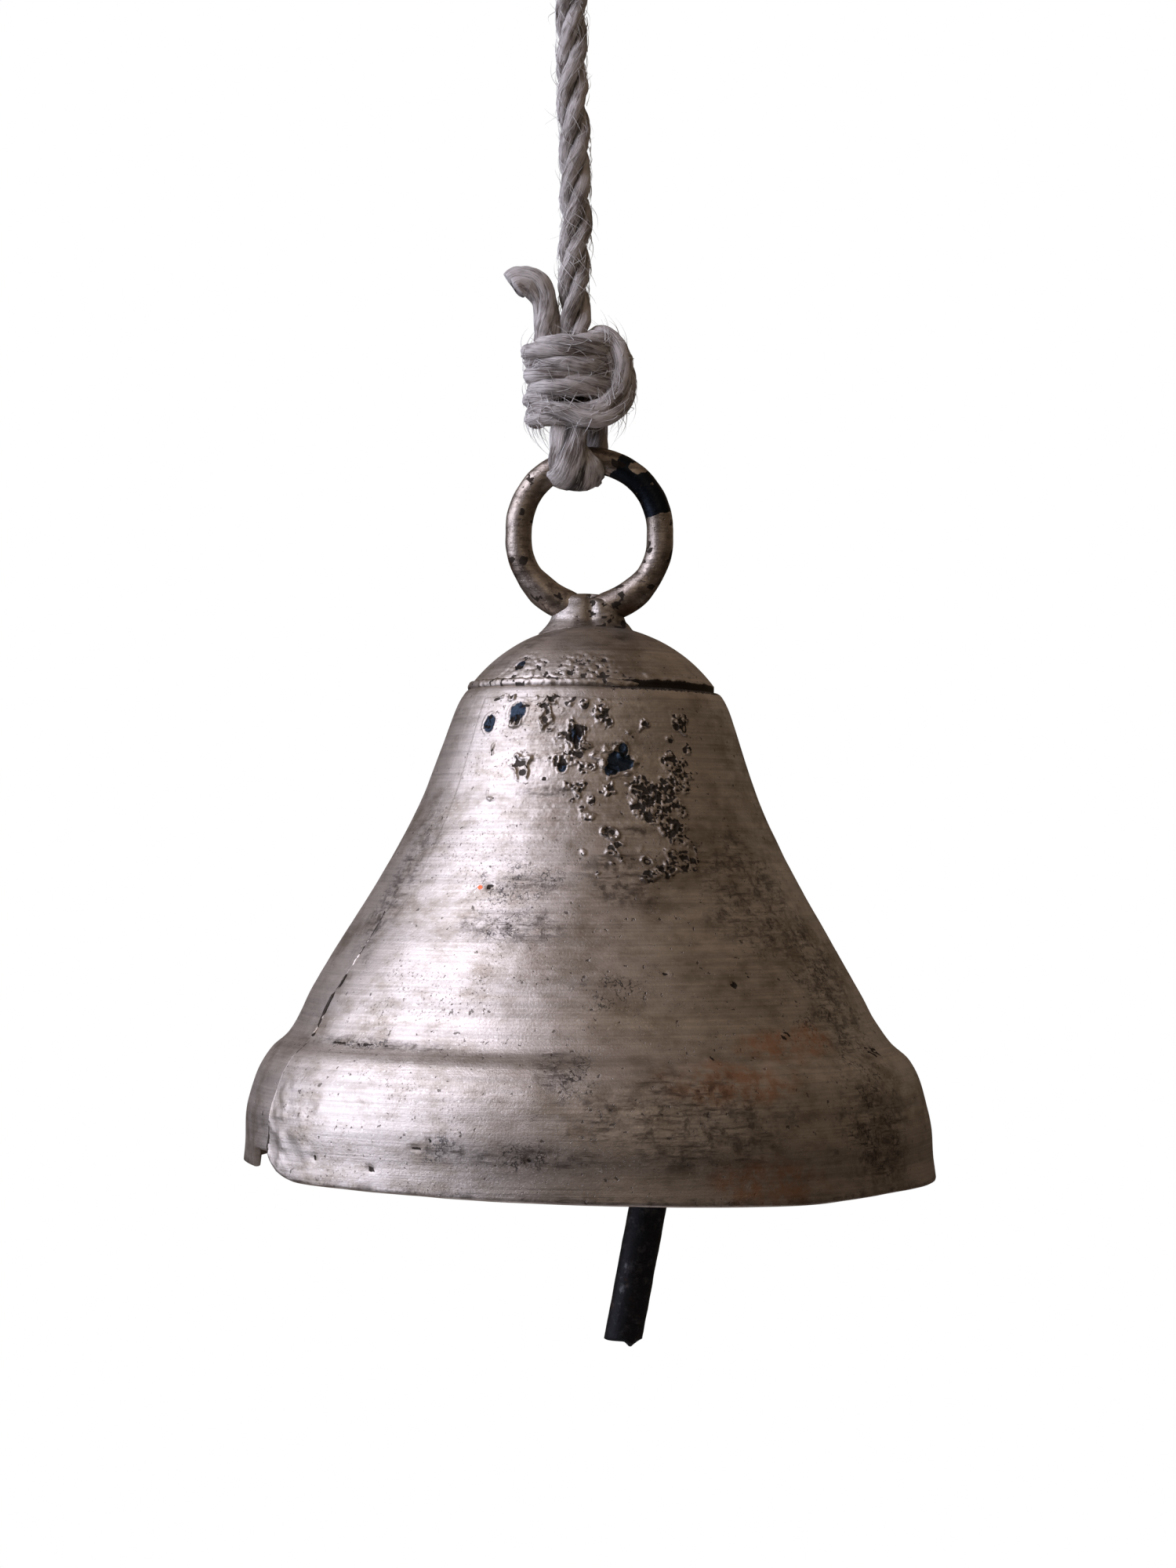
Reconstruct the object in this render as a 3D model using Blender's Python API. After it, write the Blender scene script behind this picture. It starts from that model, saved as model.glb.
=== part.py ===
"""A small rustic hand-made bell, hung on a jute rope from a ceiling hook.

The bell is a rolled and lapped iron sheet with a brass wash, closed by a separate dome. One iron rod makes the
hanging ring, goes down through the dome and ends in an eye, on which a wire link and the clapper hang.
Metres, +Z up, -Y is the front. The origin is the middle of the ceiling plate's top face.
"""

import math

import bmesh
import bpy
from mathutils import Matrix, Vector

MM = 0.001
GAP = 0.3 * MM  # left between pieces that touch on the real bell

# The bell sheet. Its own frame has the mouth's centre as origin and its axis as +Z.
MOUTH_RADIUS = 54.2 * MM
SHEET = 1.2 * MM
BELL_TILT = math.radians(1.2)  # the bell hangs a little to one side
MOUTH_CENTRE = Vector((1.5 * MM, 0.0, -250.0 * MM))
RIM_SHIFT = 1.0 * MM  # the skirt is pushed over to +X, most at its edge
RIM_SHIFT_TOP = 26 * MM
OUTLINE = [  # outer radius as a share of the mouth's, and height in millimetres
    (1.000, 0.0),
    (1.003, 3.5),
    (1.000, 8.0),
    (0.989, 11.5),
    (0.962, 15.6),
    (0.920, 19.0),
    (0.868, 21.6),
    (0.833, 25.0),
    (0.802, 29.0),
    (0.723, 36.3),
    (0.640, 43.6),
    (0.562, 51.2),
    (0.502, 58.0),
    (0.457, 64.5),
    (0.420, 70.5),
    (0.399, 74.2),
    (0.381, 76.0),
]
SHOULDER_Z = 14 * MM
EDGE_SLANT = 1.1 * MM  # the mouth's edge is higher on its -X side by this much
LAP_ANGLE = math.radians(-149.5)  # where the outer end of the sheet lies; from there it runs across the front
LAP = math.radians(20)  # how far the inner end runs on under it
LAP_RAMP = math.radians(34)
LAP_RISE = SHEET + 0.36 * MM
CORNER_LENGTH = 9.0 * MM  # the outer end's lower corner is rounded off along this, and up by its height
CORNER_HEIGHT = 4.4 * MM
NOTCH_RISE = 2.9 * MM  # the inner end is cut short at its lower corner
NOTCH_PAST_LAP = math.radians(11)

# The dome that closes the sheet's top.
DOME_RADIUS = 23.7 * MM
DOME_TOP = 87.0 * MM
DOME_SKIRT_RADIUS = 19.25 * MM
DOME_SKIRT_Z = 73.6 * MM
DOME_HOLE_RADIUS = 6.0 * MM

# The rod that is ring, tails and clapper eye.
ROD_RADIUS = 2.1 * MM
RING_X = -1.2 * MM
RING_RADIUS = 11.3 * MM
RING_TOP_ARC_Z = 102.2 * MM
RING_LOW_ARC_Z = 101.0 * MM
TAIL_X = 2.25 * MM
TAIL_EYE = (11.15 * MM, 69.2 * MM)
TAIL_EYE_RADIUS = 4.6 * MM

# What hangs inside.
LINK_RADIUS = 7.4 * MM
LINK_WIRE = 1.5 * MM
CLAPPER_ROD = 3.0 * MM
CLAPPER_EYE_RADIUS = 7.9 * MM
CLAPPER_LENGTH = 76.8 * MM
CLAPPER_LEAN = math.radians(10.6)  # the eye is beside the shank, so it hangs at a slant

# The rope, of 5 mm jute, and where its knots are. The rope hangs at x = 0.
ROPE_RADIUS = 2.5 * MM
ROPE_ROUTE = [  # x and z in millimetres, knot to knot: it wanders a little from the plumb line
    (0.1, -115.5),
    (0.1, -112.0),
    (-0.1, -104.5),
    (0.3, -98.5),
    (0.1, -91.0),
    (0.1, -84.5),
    (-0.4, -78.0),
    (-0.35, -71.0),
    (-0.5, -64.5),
    (-0.1, -59.25),
]
LOOP_THICKNESS = 1.65 * MM  # half of it; two turns lie side by side, pressed flat
LOOP_WIDTH = 4.4 * MM
LOOP_SLACK = 1.4 * MM
LOOP_X = 0.6 * MM
KNOT_HALF = Vector((9.2 * MM, 7.4 * MM, 8.2 * MM))
LOW_KNOT = Vector((0.2 * MM, 0.0, -124.0 * MM))
TOP_KNOT = Vector((0.0, 0.0, -50.6 * MM))
TAIL_RADIUS = 2.25 * MM
LOW_TAIL_ROUTE = [(-5.2, 0.0, 8.9), (-5.7, 0.2, 12.2), (-6.6, 0.2, 15.2), (-8.7, 0.0, 17.2), (-10.6, -0.2, 15.4)]
TOP_TAIL_ROUTE = [(9.9, 0.0, -1.0), (12.5, 0.2, -0.6), (15.0, 0.2, 1.2), (16.6, 0.0, 4.4)]

# The ceiling fitting.
PLATE_RADIUS = 17 * MM
PLATE_THICKNESS = 3 * MM
BOSS_RADIUS = 6.5 * MM
BOSS_DEPTH = 10 * MM
SCREW_HOLE_RADIUS = 1.9 * MM
SCREW_CIRCLE = 12 * MM
HOOK_ROD = 2.5 * MM
HOOK_BEND = 9.5 * MM
HOOK_LOW_Z = -37.6 * MM


def clear_scene():
    for obj in list(bpy.data.objects):
        bpy.data.objects.remove(obj)


def material(name, colour, roughness, metallic):
    made = bpy.data.materials.new(name)
    made.use_nodes = True
    shader = made.node_tree.nodes["Principled BSDF"]
    shader.inputs["Base Color"].default_value = (*colour, 1.0)
    shader.inputs["Roughness"].default_value = roughness
    shader.inputs["Metallic"].default_value = metallic
    return made


def placed(obj, look, parent=None):
    obj.data.materials.append(look)
    bpy.context.scene.collection.objects.link(obj)
    obj.parent = parent
    return obj


def empty(name, location, tilt=0.0):
    """An empty turned about Y, which carries the pieces made in its own frame."""
    obj = bpy.data.objects.new(name, None)
    obj.location = location
    obj.rotation_euler = (0.0, tilt, 0.0)
    bpy.context.scene.collection.objects.link(obj)
    return obj


def smooth(mesh):
    mesh.shade_smooth()
    mesh.set_sharp_from_angle(angle=math.radians(40))


def through(points, steps):
    """A smooth curve through points: a Catmull-Rom spline with steps points between each two."""
    points = [Vector(p) for p in points]
    ends = [2 * points[0] - points[1], *points, 2 * points[-1] - points[-2]]
    curve = []
    for a, b, c, d in zip(ends, ends[1:], ends[2:], ends[3:]):
        for k in range(steps):
            t = k / steps
            curve.append(
                0.5 * (2 * b + (c - a) * t + (2 * a - 5 * b + 4 * c - d) * t**2 + (3 * b - 3 * c + d - a) * t**3)
            )
    return curve + [points[-1]]


def arc(centre, radius, start, end, count):
    """Points round a circle in the XZ plane, from one angle to another, in degrees from +X."""
    angles = [math.radians(start + (end - start) * k / count) for k in range(count + 1)]
    return [Vector((centre[0] + radius * math.cos(a), 0.0, centre[1] + radius * math.sin(a))) for a in angles]


def bend(before, corner, after, radius, count=5):
    """The arc that rounds a corner between two straight runs."""
    corner = Vector(corner)
    back = (Vector(before) - corner).normalized()
    on = (Vector(after) - corner).normalized()
    half = back.angle(on) / 2
    centre = corner + (back + on).normalized() * radius / math.sin(half)
    first = corner + back * radius / math.tan(half) - centre
    last = corner + on * radius / math.tan(half) - centre
    return [centre + first.slerp(last, k / count).normalized() * radius for k in range(count + 1)]


def rod(name, points, radius, look, parent=None, fineness=2):
    """A round rod along points."""
    curve = bpy.data.curves.new(name, "CURVE")
    curve.dimensions = "3D"
    curve.bevel_depth = radius
    curve.bevel_resolution = fineness
    curve.use_fill_caps = True
    spline = curve.splines.new("POLY")
    spline.points.add(len(points) - 1)
    for spot, p in zip(spline.points, points):
        spot.co = (*p, 1.0)
    return placed(bpy.data.objects.new(name, curve), look, parent)


def loft(name, rings, look, parent=None, closed=False):
    """A solid through rings of points: capped at both ends, or joined round from the last ring to the first."""
    mesh = bmesh.new()
    rows = [[mesh.verts.new(p) for p in ring] for ring in rings]
    pairs = list(zip(rows, rows[1:])) + ([(rows[-1], rows[0])] if closed else [])
    for low, high in pairs:
        for k in range(len(low)):
            n = (k + 1) % len(low)
            mesh.faces.new((low[k], low[n], high[n], high[k]))
    if not closed:
        mesh.faces.new(rows[0][::-1])
        mesh.faces.new(rows[-1])
    bmesh.ops.recalc_face_normals(mesh, faces=mesh.faces)
    data = bpy.data.meshes.new(name)
    mesh.to_mesh(data)
    mesh.free()
    smooth(data)
    return placed(bpy.data.objects.new(name, data), look, parent)


def oval(centre, across, along, half_across, half_along, count=12):
    """A ring of points, an ellipse spanned by two directions."""
    turns = [2 * math.pi * k / count for k in range(count)]
    return [
        Vector(centre) + Vector(across) * half_across * math.cos(a) + Vector(along) * half_along * math.sin(a)
        for a in turns
    ]


def turned(name, profile, look, parent=None, count=40):
    """A solid of revolution about Z. The profile is a closed loop of (radius, height), off the axis."""
    rings = [[Vector((r * math.cos(a), r * math.sin(a), z)) for r, z in profile]
             for a in (2 * math.pi * k / count for k in range(count))]
    return loft(name, rings, look, parent, closed=True)


def outline():
    """The bell's outer profile as (radius, height)."""
    return [(share * MOUTH_RADIUS, z * MM) for share, z in OUTLINE]


def outline_radius(z):
    """The sheet's outer radius at a height."""
    profile = outline()
    for (r0, z0), (r1, z1) in zip(profile, profile[1:]):
        if z0 <= z <= z1:
            return r0 + (r1 - r0) * (z - z0) / (z1 - z0)
    raise ValueError("above the sheet")


def eased(t):
    t = min(max(t, 0.0), 1.0)
    return t * t * (3 - 2 * t)


def sheet_point(angle, from_outer_end, r, z):
    """A point of the sheet's outer face. from_outer_end is the angle left to the sheet's outer end."""
    total = 2 * math.pi + LAP
    r += LAP_RISE * eased(1 - from_outer_end / LAP_RAMP)
    lift = EDGE_SLANT * (1 - math.cos(angle)) / 2
    arc_left = from_outer_end * MOUTH_RADIUS
    if arc_left < CORNER_LENGTH:
        lift += CORNER_HEIGHT * (1 - math.sqrt(1 - (1 - arc_left / CORNER_LENGTH) ** 2))
    if total - from_outer_end < LAP + NOTCH_PAST_LAP:
        lift += NOTCH_RISE
    if z < SHOULDER_Z:
        z = lift + z * (1 - lift / SHOULDER_Z)
    shift = RIM_SHIFT * max(0.0, 1 - z / RIM_SHIFT_TOP)
    return Vector((r * math.cos(angle) + shift, r * math.sin(angle), z))


def bell_sheet(look, parent):
    """The rolled sheet: one skin, from the inner end of the lap once round to the outer end, given its thickness."""
    total = 2 * math.pi + LAP
    notch_end = total - LAP - NOTCH_PAST_LAP
    step = math.radians(6.2)
    steps = [total - k * step for k in range(int(total / step)) if abs(total - k * step - notch_end) > 0.6 * step]
    corner = [CORNER_LENGTH / MOUTH_RADIUS * share for share in (1.0, 0.6, 0.28, 0.08)]
    lefts = sorted([s for s in steps if s > 1.2 * corner[0]] + [notch_end + 0.002, notch_end - 0.002] + corner + [0.0])
    profile = outline()
    mesh = bmesh.new()
    columns = [
        [mesh.verts.new(sheet_point(LAP_ANGLE + left, left, r, z)) for r, z in profile] for left in reversed(lefts)
    ]
    for a, b in zip(columns, columns[1:]):
        for k in range(len(profile) - 1):
            mesh.faces.new((a[k], a[k + 1], b[k + 1], b[k]))
    data = bpy.data.meshes.new("bell_body")
    mesh.to_mesh(data)
    mesh.free()
    smooth(data)
    obj = placed(bpy.data.objects.new("bell_body", data), look, parent)
    solid = obj.modifiers.new("thickness", "SOLIDIFY")
    solid.thickness = SHEET
    solid.offset = -1.0
    solid.use_even_offset = True
    return obj


def dome(look, parent):
    """The dome and the short skirt with which it sits inside the sheet's top."""
    centre_z = DOME_TOP - DOME_RADIUS
    outer_end = math.asin(DOME_SKIRT_RADIUS / DOME_RADIUS)
    outer_start = math.asin(DOME_HOLE_RADIUS / DOME_RADIUS)
    inner = DOME_RADIUS - SHEET
    inner_end = math.asin((DOME_SKIRT_RADIUS - SHEET) / inner)
    inner_start = math.asin(DOME_HOLE_RADIUS / inner)

    def cap(radius, start, end, count=6):
        angles = [start + (end - start) * k / count for k in range(count + 1)]
        return [(radius * math.sin(a), centre_z + radius * math.cos(a)) for a in angles]

    profile = cap(DOME_RADIUS, outer_start, outer_end)
    profile += [(DOME_SKIRT_RADIUS, DOME_SKIRT_Z), (DOME_SKIRT_RADIUS - SHEET, DOME_SKIRT_Z)]
    profile += reversed(cap(inner, inner_start, inner_end))
    return turned("crown_dome", profile, look, parent)


def tangent_point(start, centre, radius):
    """Where a straight run from start meets a circle that it then follows anticlockwise, as an angle in degrees."""
    to = Vector((start[0] - centre[0], start[1] - centre[1]))
    return math.degrees(math.atan2(to.y, to.x) + math.acos(radius / to.length))


def ring_rod(look, parent):
    """One rod: a clinched tail under the dome, the ring above it, and a second tail that ends in the clapper eye."""
    low = (RING_X, RING_LOW_ARC_Z)
    leave = 65  # how far round from the side each half leaves the ring's lower arc, in degrees
    round_left = arc(low, RING_RADIUS, 180 + leave, 180, 7)
    over_top = arc((RING_X, RING_TOP_ARC_Z), RING_RADIUS, 180, 0, 20)
    round_right = arc(low, RING_RADIUS, 0, -leave, 7)
    neck_z = round_left[0].z - math.tan(math.radians(90 - leave)) * (RING_X - TAIL_X - round_left[0].x)
    left_neck = Vector((RING_X - TAIL_X, 0, neck_z))
    right_neck = Vector((RING_X + TAIL_X, 0, neck_z))
    left_turn = Vector((RING_X - TAIL_X, 0, 82.8 * MM))
    left_end = Vector((-13.0 * MM, 0, 78.4 * MM))
    right_turn = Vector((RING_X + TAIL_X, 0, 82.5 * MM))
    meet = tangent_point((right_turn.x, right_turn.z), TAIL_EYE, TAIL_EYE_RADIUS)
    eye = arc(TAIL_EYE, TAIL_EYE_RADIUS, meet, meet + 266, 18)
    points = [left_end]
    points += bend(left_end, left_turn, left_neck, 2.6 * MM)
    points += bend(left_turn, left_neck, round_left[0], 2.0 * MM)
    points += round_left + over_top + round_right
    points += bend(round_right[-1], right_neck, right_turn, 2.0 * MM)
    points += bend(right_neck, right_turn, eye[0], 4.0 * MM)
    points += eye
    return rod("hanging_ring", points, ROD_RADIUS, look, parent)


def neck_braze(look, parent):
    """The brass run round the two tails, on top of the dome."""
    hole = (5.3 * MM, 2.8 * MM)
    outer = [(8.6, 7.0, 85.75), (7.0, 5.0, 87.0), (6.1, 3.9, 87.8), (5.8, 3.5, 88.2)]

    def on_dome(half_x, half_y):
        """Just above the dome, everywhere on an ellipse."""
        ring = oval((RING_X, 0, 0), (1, 0, 0), (0, 1, 0), half_x, half_y, 24)
        base = DOME_TOP - DOME_RADIUS + 1.5 * GAP
        return [Vector((p.x, p.y, base + math.sqrt(DOME_RADIUS**2 - p.x**2 - p.y**2))) for p in ring]

    rings = [on_dome(outer[0][0] * MM, outer[0][1] * MM)]
    rings += [oval((RING_X, 0, z * MM), (1, 0, 0), (0, 1, 0), a * MM, b * MM, 24) for a, b, z in outer[1:]]
    rings.append(oval((RING_X, 0, outer[-1][2] * MM), (1, 0, 0), (0, 1, 0), *hole, 24))
    rings.append(on_dome(*hole))
    return loft("neck_braze", rings, look, parent, closed=True)


def seam_braze(look, parent):
    """A bead of brass inside the bell, along the inner end of the sheet."""
    bead = 0.8 * MM
    past_edge = math.radians(1.6)
    points = []
    for k in range(15):
        z = (8 + 62 * k / 14) * MM
        slope = (outline_radius(z + MM) - outline_radius(z - MM)) / (2 * MM)
        inward = (SHEET + GAP + bead + 0.1 * MM) * math.sqrt(1 + slope**2)
        r = outline_radius(z) - inward
        left = 2 * math.pi + LAP + past_edge + 1.6 * MM / r
        angle = LAP_ANGLE + left
        r += LAP_RISE * eased(1 - (LAP + past_edge + 1.6 * MM / r) / LAP_RAMP)
        shift = RIM_SHIFT * max(0.0, 1 - z / RIM_SHIFT_TOP)
        points.append(Vector((r * math.cos(angle) + shift, r * math.sin(angle), z)))
    return rod("seam_braze", points, bead, look, parent, 1)


def crown_braze(look, parent):
    """A bead of brass inside the bell, round the lower edge of the dome's skirt."""
    bead = 0.8 * MM
    centre = (DOME_SKIRT_RADIUS, DOME_SKIRT_Z - GAP - bead)
    turns = [2 * math.pi * k / 8 for k in range(8)]
    profile = [(centre[0] + bead * math.cos(a), centre[1] - bead * math.sin(a)) for a in turns]
    return turned("crown_braze", profile, look, parent)


def clapper_link(look, centre):
    """A closed wire ring in the YZ plane, between the eye of the ring rod and the eye of the clapper."""
    rings = []
    for k in range(28):
        a = 2 * math.pi * k / 28
        out = Vector((0, math.cos(a), math.sin(a)))
        rings.append(oval(out * LINK_RADIUS, (1, 0, 0), out, LINK_WIRE, LINK_WIRE, 10))
    obj = loft("clapper_link", rings, look, closed=True)
    obj.location = centre
    return obj


def clapper(look, pivot):
    """The iron clapper. Its origin is on its pivot, and its eye hangs on the link."""
    eye_centre = Vector((0, 0, LINK_WIRE + GAP + CLAPPER_ROD - CLAPPER_EYE_RADIUS))
    eye = arc((0, 0), CLAPPER_EYE_RADIUS, 0, 277, 20)
    shank = [Vector((CLAPPER_EYE_RADIUS, 0, -CLAPPER_LENGTH * (1 - k / 10))) for k in range(10)]
    lean = Matrix.Rotation(CLAPPER_LEAN, 3, "Y")
    obj = rod("clapper", [eye_centre + lean @ p for p in shank + eye], CLAPPER_ROD, look, fineness=3)
    obj.location = pivot
    return obj


def knot(name, centre, look, parent):
    """The outer shape of a knot: wraps of rope round two strands."""
    heights = [-1.0, -0.86, -0.55, -0.18, 0.18, 0.55, 0.86, 1.0]
    widths = [0.62, 0.90, 0.97, 1.0, 1.0, 0.97, 0.90, 0.62]
    rings = [
        oval(centre + Vector((0, 0, h * KNOT_HALF.z)), (1, 0, 0), (0, 1, 0), w * KNOT_HALF.x, w * KNOT_HALF.y, 16)
        for h, w in zip(heights, widths)
    ]
    return loft(name, rings, look, parent)


def loop(name, bar, bar_radius, across, out, knot_face_z, look, parent):
    """Rope laid twice round a bar and back to its knot. across runs along the bar, and out points from the bar to
    the loop's far side, up or down."""
    reach = bar_radius + LOOP_SLACK + LOOP_THICKNESS
    side = Vector(across).cross(out)
    leg = abs(knot_face_z - bar.z) - GAP
    route = [(side * reach - out * leg, side)]
    route += [
        (side * reach * math.cos(a) + out * reach * math.sin(a), side * math.cos(a) + out * math.sin(a))
        for a in (math.pi * k / 12 for k in range(13))
    ]
    route.append((-side * reach - out * leg, -side))
    rings = [oval(bar + p, across, normal, LOOP_WIDTH, LOOP_THICKNESS, 12) for p, normal in route]
    return loft(name, rings, look, parent)


def rope(look, parent, ring_bar, hook_bar):
    """The rope hangs from the hook by one loop and knot, and holds the ring in another."""
    for name, centre in (("lower_knot", LOW_KNOT), ("upper_knot", TOP_KNOT)):
        knot(name, centre, look, parent)
    line = through([(x * MM, 0, z * MM) for x, z in ROPE_ROUTE], 3)
    rod("rope_line", line, ROPE_RADIUS, look, parent, 3)
    loop("lower_loop", ring_bar, ROD_RADIUS, Vector((1, 0, 0)), Vector((0, 0, -1)),
         LOW_KNOT.z - KNOT_HALF.z, look, parent)
    loop("upper_loop", hook_bar, HOOK_ROD, Vector((0, 1, 0)), Vector((0, 0, 1)),
         TOP_KNOT.z + KNOT_HALF.z, look, parent)
    for name, centre, route in (("lower_tail", LOW_KNOT, LOW_TAIL_ROUTE), ("upper_tail", TOP_KNOT, TOP_TAIL_ROUTE)):
        rod(name, through([centre + Vector(p) * MM for p in route], 3), TAIL_RADIUS, look, parent, 3)


def ceiling_plate(look):
    """A round plate with a boss below it, three screw holes and a blind hole for the hook's shank."""
    under = -PLATE_THICKNESS
    edge = 0.6 * MM
    hole = HOOK_ROD + GAP
    hole_top = -PLATE_THICKNESS - 1.0 * MM
    profile = [
        (PLATE_RADIUS, 0.0),
        (PLATE_RADIUS, under + edge),
        (PLATE_RADIUS - edge, under),
        (BOSS_RADIUS + 1.4 * MM, under),
        (BOSS_RADIUS, under - 1.4 * MM),
        (BOSS_RADIUS - 0.8 * MM, under - BOSS_DEPTH),
        (hole, under - BOSS_DEPTH),
        (hole, hole_top),
    ]
    mesh = bmesh.new()
    count = 32
    rows = [
        [mesh.verts.new((r * math.cos(a), r * math.sin(a), z)) for r, z in profile]
        for a in (2 * math.pi * k / count for k in range(count))
    ]
    for a, b in zip(rows, rows[1:] + rows[:1]):
        for k in range(len(profile) - 1):
            mesh.faces.new((a[k], b[k], b[k + 1], a[k + 1]))
    mesh.faces.new([row[0] for row in rows])
    mesh.faces.new([row[-1] for row in reversed(rows)])
    bmesh.ops.recalc_face_normals(mesh, faces=mesh.faces)
    data = bpy.data.meshes.new("ceiling_plate")
    mesh.to_mesh(data)
    mesh.free()
    smooth(data)
    obj = placed(bpy.data.objects.new("ceiling_plate", data), look)
    for k in range(3):
        a = math.radians(90 + 120 * k)
        cutter = screw_cutter(f"screw_hole_{k + 1}", (SCREW_CIRCLE * math.cos(a), SCREW_CIRCLE * math.sin(a), 0))
        cut = obj.modifiers.new(f"screw_{k + 1}", "BOOLEAN")
        cut.operation = "DIFFERENCE"
        cut.object = cutter
    return obj


def screw_cutter(name, place):
    """The shape of a countersunk wood screw, cut out of the plate."""
    profile = [
        (SCREW_HOLE_RADIUS, 2 * MM),
        (SCREW_HOLE_RADIUS, -1.2 * MM),
        (2 * SCREW_HOLE_RADIUS, -PLATE_THICKNESS),
        (2 * SCREW_HOLE_RADIUS, -PLATE_THICKNESS - 1.2 * MM),
    ]
    mesh = bmesh.new()
    rings = [[mesh.verts.new(p) for p in oval((0, 0, z), (1, 0, 0), (0, 1, 0), r, r, 16)] for r, z in profile]
    for a, b in zip(rings, rings[1:]):
        for k in range(16):
            n = (k + 1) % 16
            mesh.faces.new((a[k], a[n], b[n], b[k]))
    mesh.faces.new(rings[0])
    mesh.faces.new(rings[-1])
    bmesh.ops.recalc_face_normals(mesh, faces=mesh.faces)
    data = bpy.data.meshes.new(name)
    mesh.to_mesh(data)
    mesh.free()
    obj = bpy.data.objects.new(name, data)
    obj.location = place
    obj.hide_render = True
    obj.display_type = "WIRE"
    bpy.context.scene.collection.objects.link(obj)
    return obj


def ceiling_hook(look):
    """The hook, bent in the YZ plane, so that its lowest stretch runs along Y. It opens to the front."""
    bend_z = HOOK_LOW_Z + HOOK_BEND
    back = Vector((0, HOOK_BEND, bend_z))
    top = Vector((0, 0, -PLATE_THICKNESS - 1.0 * MM - GAP))
    knee = Vector((0, 0, bend_z + 8.0 * MM))
    out = Vector((0, HOOK_BEND, bend_z + 3.2 * MM))
    points = [top]
    points += bend(top, knee, out, 4.0 * MM)
    points += bend(knee, out, back, 3.0 * MM)
    points += [Vector((0, p.x, p.z)) for p in arc((0, bend_z), HOOK_BEND, 0, -180, 14)]
    points.append(Vector((0, -HOOK_BEND - 1.2 * MM, bend_z + 5.0 * MM)))
    return rod("ceiling_hook", points, HOOK_ROD, look)


def main():
    clear_scene()
    brass_wash = material("brass_wash", (0.42, 0.36, 0.29), 0.42, 1.0)
    braze = material("braze", (0.50, 0.42, 0.32), 0.45, 1.0)
    black_iron = material("black_iron", (0.03, 0.03, 0.034), 0.5, 1.0)
    forged_iron = material("forged_iron", (0.10, 0.09, 0.085), 0.55, 1.0)
    jute = material("jute", (0.44, 0.38, 0.32), 0.95, 0.0)

    ceiling_plate(forged_iron)
    ceiling_hook(forged_iron)

    bell = empty("bell_frame", MOUTH_CENTRE, BELL_TILT)
    bell_sheet(brass_wash, bell)
    dome(brass_wash, bell)
    ring_rod(brass_wash, bell)
    neck_braze(braze, bell)
    seam_braze(braze, bell)
    crown_braze(braze, bell)

    to_world = Matrix.Translation(MOUTH_CENTRE) @ Matrix.Rotation(BELL_TILT, 4, "Y")
    eye = to_world @ Vector((TAIL_EYE[0], 0, TAIL_EYE[1]))
    link_pivot = eye - Vector((0, 0, TAIL_EYE_RADIUS))
    link_centre = link_pivot + Vector((0, 0, ROD_RADIUS + GAP + LINK_WIRE - LINK_RADIUS))
    clapper_pivot = link_centre - Vector((0, 0, LINK_RADIUS))
    clapper_link(black_iron, link_centre)
    clapper(black_iron, clapper_pivot)

    ring_centre = to_world @ Vector((RING_X, 0, RING_TOP_ARC_Z))
    off_top = (LOOP_X - ring_centre.x) / RING_RADIUS
    ring_bar = Vector((LOOP_X, 0, ring_centre.z + RING_RADIUS * math.cos(math.asin(off_top))))
    hook_bar = Vector((0, 0, HOOK_LOW_Z))
    rope_frame = empty("rope_frame", (0, 0, 0))
    rope(jute, rope_frame, ring_bar, hook_bar)
    for label, p in (("hook", hook_bar), ("ring", ring_bar), ("link", link_pivot), ("clapper", clapper_pivot)):
        print(f"{label} pivot, metres:", " ".join(f"{c:.5f}" for c in p))


main()
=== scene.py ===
"""The looks of a small hand-made bell on a jute rope: a brass-washed sheet bell, its ring, clapper and rope.

Lengths are in metres, as the frame's are. Sizes are given times MM. The bell has a frame of its own, with the
middle of its mouth as origin and its axis as +Z, and hangs tilted a little about Y. Front is -Y.
"""

import itertools
import math

import bpy
import numpy as np
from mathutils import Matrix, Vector


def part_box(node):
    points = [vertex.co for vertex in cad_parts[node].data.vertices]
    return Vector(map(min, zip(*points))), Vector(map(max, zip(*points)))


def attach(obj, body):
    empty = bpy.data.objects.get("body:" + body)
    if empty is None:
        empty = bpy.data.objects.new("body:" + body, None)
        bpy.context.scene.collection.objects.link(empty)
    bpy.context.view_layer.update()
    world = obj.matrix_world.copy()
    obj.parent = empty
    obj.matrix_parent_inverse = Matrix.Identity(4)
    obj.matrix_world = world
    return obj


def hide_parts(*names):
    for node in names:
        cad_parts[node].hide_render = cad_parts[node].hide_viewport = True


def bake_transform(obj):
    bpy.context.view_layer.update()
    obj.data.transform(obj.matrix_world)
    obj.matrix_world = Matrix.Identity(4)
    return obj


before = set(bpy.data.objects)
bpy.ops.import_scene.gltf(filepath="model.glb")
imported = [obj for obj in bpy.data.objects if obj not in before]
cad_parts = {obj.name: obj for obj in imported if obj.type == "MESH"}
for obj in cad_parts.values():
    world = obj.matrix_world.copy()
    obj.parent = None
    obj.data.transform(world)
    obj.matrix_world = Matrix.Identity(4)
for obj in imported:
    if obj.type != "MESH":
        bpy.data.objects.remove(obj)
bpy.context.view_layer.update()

MM = 0.001

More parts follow.
